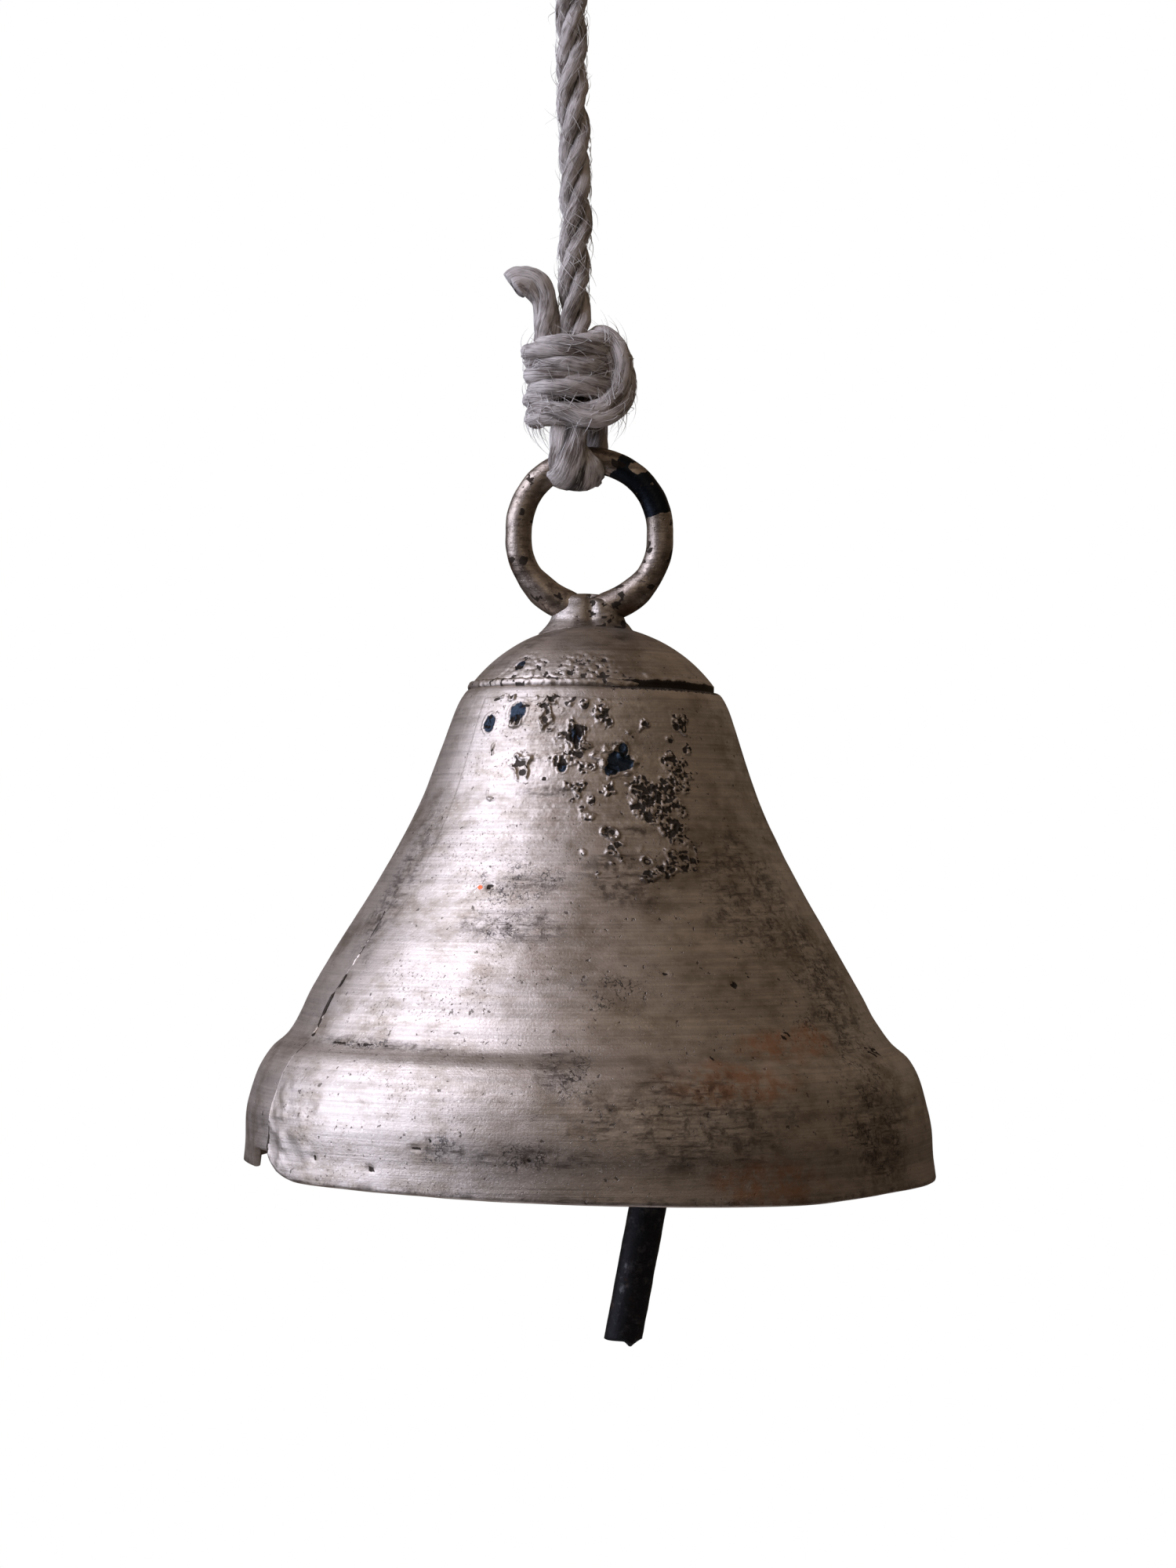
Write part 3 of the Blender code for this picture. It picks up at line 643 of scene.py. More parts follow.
def sheet_places(left, r, z, normal_r, normal_z, outer):
    """Points of the sheet in the bell's frame, a grid of column by place in the section. The radius grows by
    LAP_RISE towards the outer end, the lower edge lifts at the corner and the notch, and the end of the lap is
    hammered thin above the shoulder."""
    left = left[:, None]
    angle = LAP_ANGLE + left
    run = left * MOUTH_RADIUS
    hammered = step(z / MM, *FEATHER_Z)
    rise = LAP_RISE + hammered * (np.where(outer > 0, FEATHER, SHEET) - LAP_RISE)
    rise = rise * step(1 - left / LAP_RAMP, 0, 1)
    lift = EDGE_SLANT * (1 - np.cos(angle)) / 2 + 0.9 * MM * step(np.cos(angle - math.radians(-12)), 0.70, 0.97)
    lift = lift + CORNER_HEIGHT * (1 - np.sqrt(1 - np.clip(1 - run / CORNER_LENGTH, 0, 1) ** 2))
    lift = lift + 0.7 * MM * (left > math.pi) * step(np.abs(left - math.radians(350)), 0.45, 0.15)
    lift = lift + NOTCH_RISE * (2 * math.pi + LAP - left < LAP + NOTCH_PAST_LAP)
    height = np.where(z < SHOULDER_Z, lift + z * (1 - lift / SHOULDER_Z), z)
    shift = RIM_SHIFT * np.clip(1 - height / RIM_SHIFT_TOP, 0, None)
    swell = 0.9 * MM * np.exp(-(((z / MM - 20.5) / 5.0) ** 2)) * step(np.cos(angle), 0.2, 1.0)
    radius = r + rise + swell
    points = np.stack([radius * np.cos(angle) + shift, radius * np.sin(angle), height], axis=-1)
    normal = np.stack([normal_r * np.cos(angle), normal_r * np.sin(angle), normal_z + 0 * angle], axis=-1)
    return points, normal, angle


def spot(angle, height, radius, at, high, wide, tall, points, seed=0, ragged=0.35, size=2.0 * MM):
    """How near each point is to the middle of an oval spot: 0 there and 1 at the spot's ragged edge. wide and
    tall are half sizes along the surface in millimetres."""
    away = (angle - math.radians(at) + math.pi) % (2 * math.pi) - math.pi
    q = np.sqrt((away * radius / (wide * MM)) ** 2 + ((height / MM - high) / tall) ** 2)
    near = q < 3
    q = q.copy()
    q[near] += ragged * lumps(points[near], size, seed)
    return q


# Where the wash has run into crusts: degrees, millimetres up, half width, half height, and how it looks.
FRONT_CRUSTS = [
    (-108.5, 70.8, 0.9, 1.5, "curl"),
    (-105.2, 69.0, 0.8, 1.1, "sparse"),
    (-114.5, 64.1, 1.4, 1.8, "curl"),
    (-112.5, 67.2, 0.6, 1.6, "sparse"),
    (-95.9, 68.0, 1.7, 2.3, "dense"),
    (-97.4, 62.6, 2.4, 2.4, "sparse"),
    (-101.0, 64.5, 1.4, 1.4, "sparse"),
    (-93.5, 60.0, 1.2, 1.4, "sparse"),
    (-86.5, 71.4, 1.3, 1.6, "dense"),
    (-88.0, 69.2, 1.1, 1.0, "sparse"),
    (-78.3, 67.7, 2.0, 1.5, "sparse"),
    (-81.5, 65.2, 2.4, 2.1, "rim"),
    (-54.7, 71.1, 1.5, 1.3, "dense"),
    (-52.6, 70.5, 0.8, 1.0, "curl"),
    (-70.3, 70.7, 1.2, 0.9, "sparse"),
    (-59.5, 64.0, 2.2, 2.4, "dense"),
    (-63.0, 61.5, 2.0, 1.8, "dense"),
    (-59.9, 67.7, 1.8, 1.2, "sparse"),
    (-53.0, 66.8, 1.0, 0.9, "sparse"),
    (-70.5, 60.6, 2.4, 1.9, "dense"),
    (-68.5, 58.4, 3.3, 2.5, "dense"),
    (-74.2, 58.6, 2.2, 2.0, "dense"),
    (-61.5, 58.2, 1.4, 2.4, "sparse"),
    (-65.3, 55.0, 1.8, 2.6, "dense"),
    (-62.0, 53.2, 1.5, 1.7, "dense"),
    (-89.6, 58.0, 2.4, 2.2, "sparse"),
    (-84.5, 60.5, 1.8, 1.0, "sparse"),
    (-83.8, 53.8, 1.1, 0.9, "curl"),
    (-80.4, 51.0, 2.5, 1.5, "sparse"),
    (-66.5, 50.6, 1.5, 1.4, "dense"),
    (-63.5, 49.4, 2.2, 1.6, "dense"),
    (-69.5, 48.3, 2.0, 1.2, "dense"),
    (-74.0, 47.2, 1.7, 0.9, "dense"),
    (-73.8, 49.5, 1.3, 0.9, "curl"),
    (-58.5, 48.2, 1.2, 1.0, "sparse"),
    (-92.0, 50.4, 0.6, 0.6, "dense"),
    (-88.0, 47.6, 0.4, 0.4, "dense"),
    (-134.0, 70.3, 1.2, 1.2, "sparse"),
    (-121.0, 70.6, 1.3, 1.0, "sparse"),
    (-126.0, 74.2, 3.2, 1.1, "sparse"),
    (-109.0, 74.0, 3.4, 1.2, "sparse"),
    (-94.0, 74.2, 3.0, 1.1, "sparse"),
    (-101.0, 67.0, 1.2, 1.6, "sparse"),
    (-91.5, 64.8, 1.2, 1.5, "sparse"),
    (-104.5, 62.0, 1.4, 1.2, "sparse"),
    (-87.0, 62.3, 1.3, 1.2, "sparse"),
    (-57.0, 61.0, 1.0, 1.5, "sparse"),
    (-71.0, 54.5, 1.3, 1.5, "sparse"),
    (-60.5, 51.0, 1.0, 1.3, "sparse"),
    (-76.0, 61.8, 1.2, 0.9, "sparse"),
    (-84.0, 48.6, 1.0, 0.7, "sparse"),
    (-124.0, 59.5, 1.0, 0.8, "sparse"),
    (-128.5, 66.0, 0.9, 0.9, "sparse"),
]
CRUSTS = [  # the same below the closely spaced skin and round the back
    (-66.5, 41.5, 1.2, 0.8, "sparse"),
    (-50.5, 24.0, 0.8, 0.6, "dense"),
    (-68.3, 20.8, 0.7, 0.6, "dense"),
    (-25.8, 21.2, 2.0, 0.8, "dense"),
    (38.0, 58.0, 2.8, 3.2, "dense"),
    (33.0, 52.0, 2.2, 2.4, "dense"),
    (61.0, 68.0, 1.6, 1.8, "curl"),
    (95.0, 44.0, 2.4, 2.0, "sparse"),
    (118.0, 62.0, 2.2, 3.0, "dense"),
    (124.0, 57.0, 1.8, 2.0, "dense"),
    (140.0, 30.0, 1.4, 1.2, "curl"),
    (160.0, 52.0, 2.0, 2.2, "sparse"),
    (12.0, 40.0, 1.6, 1.2, "sparse"),
]
BARE = [  # where the iron shows blue-black
    (-134.0, 70.3, 1.1, 1.2),
    (-121.3, 72.0, 1.5, 1.4),
    (-96.2, 68.4, 0.8, 1.2),
    (-80.3, 64.6, 1.7, 1.5),
    (-83.5, 63.4, 1.1, 0.8),
    (-78.9, 66.3, 0.6, 1.0),
    (-100.5, 63.4, 0.7, 0.7),
    (44.0, 63.0, 1.8, 1.4),
    (102.0, 55.0, 2.4, 1.6),
    (150.0, 68.0, 1.5, 1.3),
]
PITS = [  # small dents full of dirt
    (-137.0, 4.1, 0.45, 0.35),
    (-125.6, 3.3, 0.75, 0.4),
    (-115.0, 8.3, 0.4, 0.35),
    (-117.5, 7.0, 0.6, 0.25),
    (-99.0, 6.0, 0.5, 0.4),
    (-116.3, 45.4, 0.7, 0.4),
    (-149.0, 30.3, 0.6, 1.0),
    (-59.0, 31.5, 0.6, 0.45),
    (-54.6, 32.6, 0.5, 0.3),
    (-74.0, 33.0, 0.35, 0.3),
    (30.0, 6.0, 0.8, 0.5),
    (80.0, 9.0, 0.6, 0.5),
    (130.0, 12.0, 0.7, 0.4),
]
COPPER = [  # reddish patches
    (-54.0, 22.6, 5.0, 2.0),
    (-44.0, 23.5, 4.0, 1.8),
    (-66.0, 17.5, 9.0, 2.6),
    (-62.0, 3.5, 9.0, 3.0),
    (60.0, 20.0, 9.0, 2.5),
]
STAINED = [  # dark, streaky stains
    (-37.0, 9.0, 9.0, 7.5),
    (-108.0, 39.5, 8.0, 2.2),
    (-105.0, 45.5, 6.0, 1.4),
    (-77.0, 54.0, 2.8, 1.0),
    (-99.0, 6.5, 11.0, 1.6),
    (-31.0, 31.0, 7.0, 11.0),
    (-45.0, 45.0, 9.0, 9.0),
    (-80.0, 47.0, 6.0, 4.0),
    (-150.0, 45.0, 4.0, 12.0),
    (-137.0, 21.9, 7.0, 0.8),
    (-123.0, 21.6, 6.0, 0.7),
    (-95.0, 19.0, 3.2, 2.6),
    (-113.0, 7.0, 3.4, 1.8),
    (-70.0, 7.5, 7.0, 2.0),
    (-104.0, 59.8, 6.0, 0.7),
    (-75.0, 12.0, 16.0, 6.0),
    (70.0, 30.0, 9.0, 7.0),
    (150.0, 14.0, 9.0, 5.0),
]
VEINS = [  # fine dark veins
    (-108.5, 45.5, 6.5, 3.0),
    (-111.0, 39.6, 5.0, 2.2),
    (-33.0, 30.0, 9.0, 13.0),
    (-36.0, 11.0, 8.0, 8.0),
    (-101.0, 6.5, 6.0, 2.2),
    (-93.0, 17.5, 4.0, 3.0),
    (-114.0, 7.0, 3.2, 2.0),
    (-134.0, 21.8, 8.0, 0.8),
    (-86.0, 30.0, 5.0, 2.4),
    (85.0, 35.0, 14.0, 12.0),
]


def crusts(points, angle, height, radius, table):
    """How far the crusts stand out, and their dark mask of dirt and painted shadow. A crust is a network of
    worm-like ridges, where smooth noise is near nought, with dark pits between them; a curl is one raised ring with
    a dark inside, and a rim only its foot; round the foot of both lies a painted shadow."""
    out = np.zeros(points.shape[:-1])
    dirt_and_shade = np.zeros(points.shape[:-1])
    for number, (at, high, wide, tall, kind) in enumerate(table):
        q = spot(angle, height, radius, at, high, wide, tall, points, number, 0.75, 1.3 * MM)
        near = q < 1.9
        p, near_q = points[near], q[near]
        large = lumps(p, 0.85 * MM, 40 + number, 2)
        small = lumps(p, 0.42 * MM, 140 + number, 2)
        worm = np.clip(1 - 2.7 * np.abs(large), 0, 1)
        if kind in ("curl", "rim"):
            cover = np.exp(-(((near_q - 0.85) / 0.26) ** 2))
            cover = cover * step(lumps(p, 1.6 * MM, 70 + number), -0.6, -0.1)
            hollow = np.exp(-(((near_q - 0.30) / 0.30) ** 2)) * (0.75 if kind == "curl" else 0.0)
            rise = cover * (0.22 + 0.24 * worm + 0.12 * small)
            # Painted shadow round the outside of the ring's foot.
            foot = np.exp(-(((near_q - 1.32) / 0.16) ** 2)) * 0.45
            dark = hollow + foot + cover * step(small, -0.1, -0.5) * 0.8
        else:
            cover = step(near_q, 1.30, 0.70)
            if kind == "sparse":
                cover = cover * step(lumps(p, 1.5 * MM, 90 + number), 0.0, 0.35)
            rise = cover * (0.04 + 0.28 * worm + 0.14 * small)
            dark = cover * np.maximum(step(np.abs(large), 0.16, 0.34), 0.85 * step(small, -0.06, -0.36))
        out[near] = np.maximum(out[near], rise * MM)
        dirt_and_shade[near] = np.maximum(dirt_and_shade[near], np.clip(dark, 0, 1))
    return out, dirt_and_shade


def worn(points, angle, height, radius, table):
    """How far the outer face stands out, and the masks for its finish and for its painted shade, at each point."""
    masks = {name: np.zeros(points.shape[:-1]) for name in MASKS}
    out = 0.10 * MM * lumps(points, 9 * MM, 3, 2) + 0.035 * MM * lumps(points, 2.4 * MM, 8, 2)
    finishes = (("bare", BARE, 150), ("copper", COPPER, 170), ("stains_and_shade", STAINED, 190), ("veins", VEINS, 210))
    for name, spots, first in finishes:
        for number, (at, high, wide, tall) in enumerate(spots):
            q = spot(angle, height, radius, at, high, wide, tall, points, first + number)
            soft = step(q, 1.5, 0.6)
            masks[name] = np.maximum(masks[name], soft)
            if name == "bare":
                out += MM * (0.10 * np.exp(-(((q - 1.3) / 0.2) ** 2)) - 0.10 * soft)
    for number, (at, high, wide, tall) in enumerate(PITS):
        q = spot(angle, height, radius, at, high, wide, tall, points, 230 + number, 0.6, 0.8 * MM)
        out -= 0.28 * MM * step(q, 1.2, 0.5)
        masks["dirt_and_shade"] = np.maximum(masks["dirt_and_shade"], 0.9 * step(q, 1.35, 0.6))
    q = spot(angle, height, radius, -119.0, 45.1, 0.55, 0.4, points, 250)
    masks["red_lead"] = step(q, 1.5, 0.6)
    crust, dirt_and_shade = crusts(points, angle, height, radius, table)
    masks["dirt_and_shade"] = np.maximum(masks["dirt_and_shade"], dirt_and_shade)
    z = height / MM
    turn = (angle + math.pi) % (2 * math.pi) - math.pi
    # Painted shade: a dark line along the corner above the skirt's shoulder at 21.2 mm, fainter near -135 degrees,
    # where a ragged darker line at 21.4 mm takes its place.
    foot = np.exp(-(((z - 21.2) / 0.42) ** 2)) * step(lumps(points, 6 * MM, 260), -0.6, 0.5)
    foot = foot * (0.25 + 0.75 * step(np.abs(turn - math.radians(-135)), 0.62, 0.25))
    rim = step(z, 1.3, 0.5) * step(lumps(points, 3 * MM, 262, 2), -0.5, 0.2)
    # Painted shade at the lap seam: on the under sheet next to the outer end, on the outer end's edge, and in the
    # slit at 22 mm.
    gap = step(np.abs(turn - LAP_ANGLE + 0.018), 0.024, 0.008) * step(z, 23.5, 21.0) * (turn < LAP_ANGLE - 0.004)
    edge = step(np.abs(turn - LAP_ANGLE), 0.014, 0.004) * step(z, 24.0, 21.0)
    edge = edge * step(lumps(points, 2 * MM, 264, 2), -0.5, 0.1)
    slit = step(np.abs(turn - LAP_ANGLE + 0.03), 0.030, 0.012) * np.exp(-(((z - 22.0) / 1.6) ** 2))
    masks["stains_and_shade"] = np.maximum(masks["stains_and_shade"], np.maximum(0.9 * rim, foot))
    masks["dirt_and_shade"] = np.maximum(masks["dirt_and_shade"], np.maximum(0.75 * np.maximum(gap, 0.8 * edge), slit))
    # Painted shade: a dark line along the sheet's top at the front right, where the groove under the dome stays
    # open.
    crest = step(z, 75.5, 76.1) * step(np.cos(angle - math.radians(-48)), 0.6, 0.9)
    masks["dirt_and_shade"] = np.maximum(masks["dirt_and_shade"], 0.62 * crest)
    blister = step(z, 17.5, 13.0) * step(np.abs(turn - math.radians(-143.0)), 0.15, 0.05)
    rough = step(z, 48, 58) * step(np.abs(turn - math.radians(-95)), 0.80, 0.45)
    # Painted shade: a ragged dark line along the same corner at 21.4 mm near -133 degrees, kept with the dirt mask.
    shoulder_line_shade = np.exp(-(((z - 21.4) / 0.35) ** 2)) * step(np.abs(turn - math.radians(-133)), 0.24, 0.12)
    shoulder_line_shade = shoulder_line_shade * step(lumps(points, 1.2 * MM, 266, 2), -0.35, 0.15)
    masks["dirt_and_shade"] = np.maximum(masks["dirt_and_shade"], 0.75 * shoulder_line_shade)
    out = out + crust + 0.40 * MM * np.clip(lumps(points, 1.5 * MM, 270, 2), -0.1, 1) * blister
    out = out + 0.045 * MM * rough * lumps(points, 0.7 * MM, 272, 2)
    return out, masks


def dressed(points, normal, outer, out, masks):
    """Points moved out along their normals by the wear, with its masks, on the outer face only."""
    masks = {name: (mask * outer).ravel() for name, mask in masks.items()}
    return points + normal * (out * outer)[..., None], masks


def bell_body(look):
    """The rolled sheet as one closed skin, section by section round the bell, with its wear."""
    r, z, normals, outer = cross_section(*SECTION_POINTS)
    left = columns(208, 112)
    points, normal, angle = sheet_places(left, r, z, normals[:, 0], normals[:, 1], outer)
    angle, radius, height = angle + 0 * z, r + 0 * angle, z + 0 * angle
    out, masks = worn(points, angle, height, radius, CRUSTS)
    hidden = step(left, 2 * math.pi + 0.02, 2 * math.pi + 0.07)[:, None]
    points = points + normal * (0.06 * MM * lumps(points, 6 * MM, 280, 2) * (1 - outer))[..., None]
    out = out * (1 - hidden) - 0.5 * MM * hidden
    masks = {mask_name: mask * (1 - hidden) for mask_name, mask in masks.items()}
    points, masks = dressed(points, normal, outer, out, masks)
    quads = grid_quads(*points.shape[:2], False, True)
    caps = end_caps(*points.shape[:2])
    piece("bell_sheet", hung(points), quads, look, "bell", ["bell_body"], caps, masks)


def crusted_front(look):
    """The front of the sheet below the dome again, as a skin with closely spaced points for its crusts. It lies a
    hair above the sheet and sinks into it along its edges."""
    r, z, normals, outer = cross_section(3000, 2)
    shown = (outer > 0) & (z > CRUST_Z[0] * MM) & (z < CRUST_Z[1] * MM)
    line = np.stack([r, z, normals[:, 0], normals[:, 1]], axis=1)[shown]
    face = line[np.linspace(0, len(line) - 1, 240).astype(int)]
    back = line[np.linspace(len(line) - 1, 0, 8).astype(int)]
    back[:, :2] -= 0.75 * MM * back[:, 2:]
    line = np.concatenate([face, back])
    outer = np.concatenate([np.ones(len(face)), np.zeros(len(back))])
    left = np.radians(np.linspace(*CRUST_ANGLES, 320)) - LAP_ANGLE
    points, normal, angle = sheet_places(left, line[:, 0], line[:, 1], line[:, 2], line[:, 3], 1 + 0 * outer)
    angle, radius, height = angle + 0 * line[:, 1], line[:, 0] + 0 * angle, line[:, 1] + 0 * angle
    out, masks = worn(points, angle, height, radius, FRONT_CRUSTS)
    turn = np.degrees(angle)
    inside = step(turn, CRUST_ANGLES[0], CRUST_ANGLES[0] + 5) * step(turn, CRUST_ANGLES[1], CRUST_ANGLES[1] - 4)
    inside = inside * step(height / MM, CRUST_Z[0], CRUST_Z[0] + 1.2)
    inside = inside * step(height / MM, CRUST_Z[1], CRUST_Z[1] - 1.0)
    points, masks = dressed(points, normal, outer, out + MM * (0.30 * inside - 0.26), masks)
    quads = grid_quads(*points.shape[:2], False, True)
    caps = end_caps(*points.shape[:2])
    piece("crusted_front", hung(points), quads, look, "bell", (), caps, masks)


def clean(points):
    return np.zeros(len(points))


PLAIN_MASKS = {name: clean for name in MASKS if name != "dirt_and_shade"}


def edge_bead(name, left, heights, radius, proud, look, replaced=(), rough=0.45, seed=300):
    """A lumpy bead of brass that follows the sheet at an angle from its outer end, its middle proud of the face."""
    line_r, line_z, _, outer = cross_section(*SECTION_POINTS)
    face = outer > 0
    r = np.interp(heights, line_z[face], line_r[face])
    angle = LAP_ANGLE + left
    radius_here = r + proud
    path = np.stack([radius_here * np.cos(angle), radius_here * np.sin(angle), heights], axis=1)
    path[:, 0] += RIM_SHIFT * np.clip(1 - heights / RIM_SHIFT_TOP, 0, None)
    masks = dict(PLAIN_MASKS, dirt_and_shade=lambda p: 0.95 * step(lumps(p, 1.3 * MM, seed + 5, 2), 0.30, 0.05))
    return rod(name, hung(path), radius, (1.0, 0.0, 0.0), look, "bell", "braze", replaced, masks,
               sides=14, rough=rough * MM, size=1.3 * MM, seed=seed)


# ---------------------------------------------------------------- dome, neck and ring


def crown_dome(look):
    """A turned dome, closed in section: an arc of DOME_RADIUS down to a short skirt, and the same a sheet's
    thickness inside. A rough, half-melted band runs across the front of its foot."""
    centre = DOME_TOP - DOME_RADIUS

    def cap(radius, hole, skirt, count):
        a = np.linspace(math.asin(hole / radius), math.asin(skirt / radius), count)
        return np.stack([radius * np.sin(a), centre + radius * np.cos(a)], axis=1)

    skirt = evenly(np.array([(DOME_SKIRT_RADIUS, 77.2 * MM), (DOME_SKIRT_RADIUS, DOME_FOOT)]), 8)
    outside = np.concatenate([cap(DOME_RADIUS, DOME_HOLE, DOME_SKIRT_RADIUS, 90), skirt])
    inside = np.concatenate([[(DOME_SKIRT_RADIUS - SHEET, DOME_FOOT)],
                             cap(DOME_RADIUS - SHEET, DOME_HOLE, DOME_SKIRT_RADIUS - SHEET, 24)[::-1]])
    line = np.concatenate([outside, inside])
    outer = np.concatenate([np.ones(len(outside)), np.zeros(len(inside))])
    front = np.linspace(math.radians(-165), math.radians(-15), 230)
    back = np.linspace(math.radians(-15), math.radians(195), 110)[1:-1]
    angle = np.concatenate([front, back])[:, None]
    points = np.stack([line[:, 0] * np.cos(angle), line[:, 0] * np.sin(angle), line[:, 1] + 0 * angle], axis=-1)
    middle = np.array([0, 0, centre])
    z = points[..., 2] / MM
    band = step(z, 77.0, 77.8) * step(z, 82.3, 81.0) * step(np.abs(angle - math.radians(-103)), 0.75, 0.45)
    band = band * step(lumps(points, 2.6 * MM, 320, 2) + 0.5, 0.0, 0.5)
    crumbs = step(z, 77.2, 77.6) * step(z, 78.9, 78.4) * step(np.abs(angle - math.radians(-48)), 0.50, 0.30)
    crumbs = crumbs * step(lumps(points, 1.5 * MM, 326), 0.15, 0.5)
    rough = lumps(points, 0.75 * MM, 322, 3)
    out = 0.07 * MM * lumps(points, 7 * MM, 324, 2) + 0.26 * MM * band * rough + 0.30 * MM * crumbs
    points = points + unit(points - middle) * (out * outer)[..., None]
    dirt_and_shade = band * np.maximum(0.85 * step(rough, -0.12, -0.32), 0.6 * step(np.abs(rough), 0.06, 0.02))
    # Painted shade: a dark line in the groove under the dome at the front right, where no brass fills it.
    crevice_shade = step(z, 77.7, 77.4) * step(np.cos(angle - math.radians(-48)), 0.6, 0.9)
    masks = {name: np.zeros(z.size) for name in PLAIN_MASKS}
    masks["dirt_and_shade"] = (np.maximum(dirt_and_shade, crevice_shade) * outer).ravel()
    blue = step(spot(angle + 0 * z, z * MM, line[:, 0] + 0 * angle, -131.0, 79.6, 0.7, 0.7, points), 1.4, 0.7)
    masks["bare"] = (blue * outer).ravel()
    masks["stains_and_shade"] = (0.8 * step(lumps(points, 5 * MM, 328, 2), 0.1, 0.5) * outer).ravel()
    quads = grid_quads(*points.shape[:2], True, True)
    return piece("dome", hung(points), quads, look, "bell", ["crown_dome"], (), masks)


def crown_fillet(look):
    """Brass run into the groove under the dome, all the way round but for the front right, where the groove stays
    open: a rough rod that thins to nothing at each end."""
    turn = np.linspace(math.radians(-20), math.radians(-290), 560)
    share = step(np.degrees(turn), -60, -84) * step(np.degrees(turn), -289, -275)
    radius = MM * (0.25 + 0.60 * share)
    at = DOME_SKIRT_RADIUS - 0.6 * MM * (1 - share)
    path = np.stack([at * np.cos(turn), at * np.sin(turn), 76.75 * MM + 0 * turn], axis=1)
    masks = dict(PLAIN_MASKS, dirt_and_shade=lambda p: 0.8 * step(lumps(p, 0.9 * MM, 336, 2), -0.1, -0.42))
    return rod("crown_fillet", hung(path), radius, (0.0, 0.0, 1.0), look, "bell", "brass_wash", (), masks,
               sides=20, rough=0.22 * MM, size=0.9 * MM, seed=335)


def corner_arc(before, corner, after, radius):
    """The arc of a radius that rounds a corner between two straight runs."""
    before, corner, after = (np.array(p, float) for p in (before, corner, after))
    back, on = unit(before - corner), unit(after - corner)
    half = math.acos(np.clip(back @ on, -1, 1)) / 2
    centre = corner + unit(back + on) * radius / math.sin(half)
    first = corner + back * radius / math.tan(half) - centre
    last = corner + on * radius / math.tan(half) - centre
    share = np.linspace(0, 1, 14)[:, None]
    return centre + unit(first * (1 - share) + last * share) * radius


def ring_path():
    """One rod: a clinched tail under the dome, the ring above it, and a tail that ends in the clapper's eye."""
    low = (RING_X, RING_LOW_ARC_Z)
    leave = 65
    left_half = arc(low, RING_RADIUS, 180 + leave, 180)
    over = arc((RING_X, RING_TOP_ARC_Z), RING_RADIUS, 180, 0, 90)
    right_half = arc(low, RING_RADIUS, 0, -leave)
    neck_z = left_half[0][2] - math.tan(math.radians(90 - leave)) * (RING_X - TAIL_X - left_half[0][0])
    left_neck = (RING_X - TAIL_X, 0, neck_z)
    right_neck = (RING_X + TAIL_X, 0, neck_z)
    left_turn = (RING_X - TAIL_X, 0, 82.8 * MM)
    left_end = (-13.0 * MM, 0, 78.4 * MM)
    right_turn = (RING_X + TAIL_X, 0, 82.5 * MM)
    to = np.array([right_turn[0] - EYE_CENTRE[0], right_turn[2] - EYE_CENTRE[2]])
    meet = math.degrees(math.atan2(to[1], to[0]) + math.acos(EYE_RADIUS / np.linalg.norm(to)))
    eye = arc((EYE_CENTRE[0], EYE_CENTRE[2]), EYE_RADIUS, meet, meet + 266, 50)
    points = np.concatenate([
        [left_end],
        corner_arc(left_end, left_turn, left_neck, 2.6 * MM),
        corner_arc(left_turn, left_neck, left_half[0], 2.0 * MM),
        left_half,
        over[1:],
        right_half[1:],
        corner_arc(right_half[-1], right_neck, right_turn, 2.0 * MM),
        corner_arc(right_neck, right_turn, eye[0], 4.0 * MM),
        eye,
    ])
    return evenly(points, 420)


def ring(look):
    """The rod, worn to black iron over the ring's upper right quarter."""
    centre = hung(np.array([RING_X, 0, RING_TOP_ARC_Z]))

    def around(p):
        return np.degrees(np.arctan2(p[:, 2] - centre[2], p[:, 0] - centre[0]))

    def black(p):
        turn = around(p) + 7 * lumps(p, 2.0 * MM, 340, 2)
        rubbed = step(lumps(p, 1.6 * MM, 341, 2), 0.05, 0.35) * step(turn, 30, 45)
        return np.clip(step(turn, 9, 14) * step(turn, 78, 60) - rubbed, 0, 1) * (p[:, 2] > centre[2] - 3 * MM)

    def stains_and_shade(p):
        worst = step(around(p), 50, 66) * step(around(p), 112, 96) + 0.5 * (p[:, 0] > centre[0])
        return np.clip(step(lumps(p, 2.4 * MM, 345, 3), -0.25, 0.25) + worst, 0, 1)

    masks = dict(PLAIN_MASKS, bare=black, stains_and_shade=stains_and_shade)
    masks["dirt_and_shade"] = lambda p: 0.8 * step(lumps(p, 1.5 * MM, 343, 3), 0.22, 0.45)
    masks["copper"] = lambda p: 0.8 * step(lumps(p, 5.0 * MM, 347, 2), 0.2, 0.5)
    path = ring_path()
    radius = ROD + 0.40 * MM * step(path[:, 2], 95.5 * MM, 92.0 * MM) * (path[:, 2] > DOME_TOP)
    return rod("ring_rod", hung(path), radius, (0.0, 1.0, 0.0), look, "bell", "ring_metal",
               ["hanging_ring"], masks, sides=30, rough=0.13 * MM, size=3.2 * MM, seed=342)


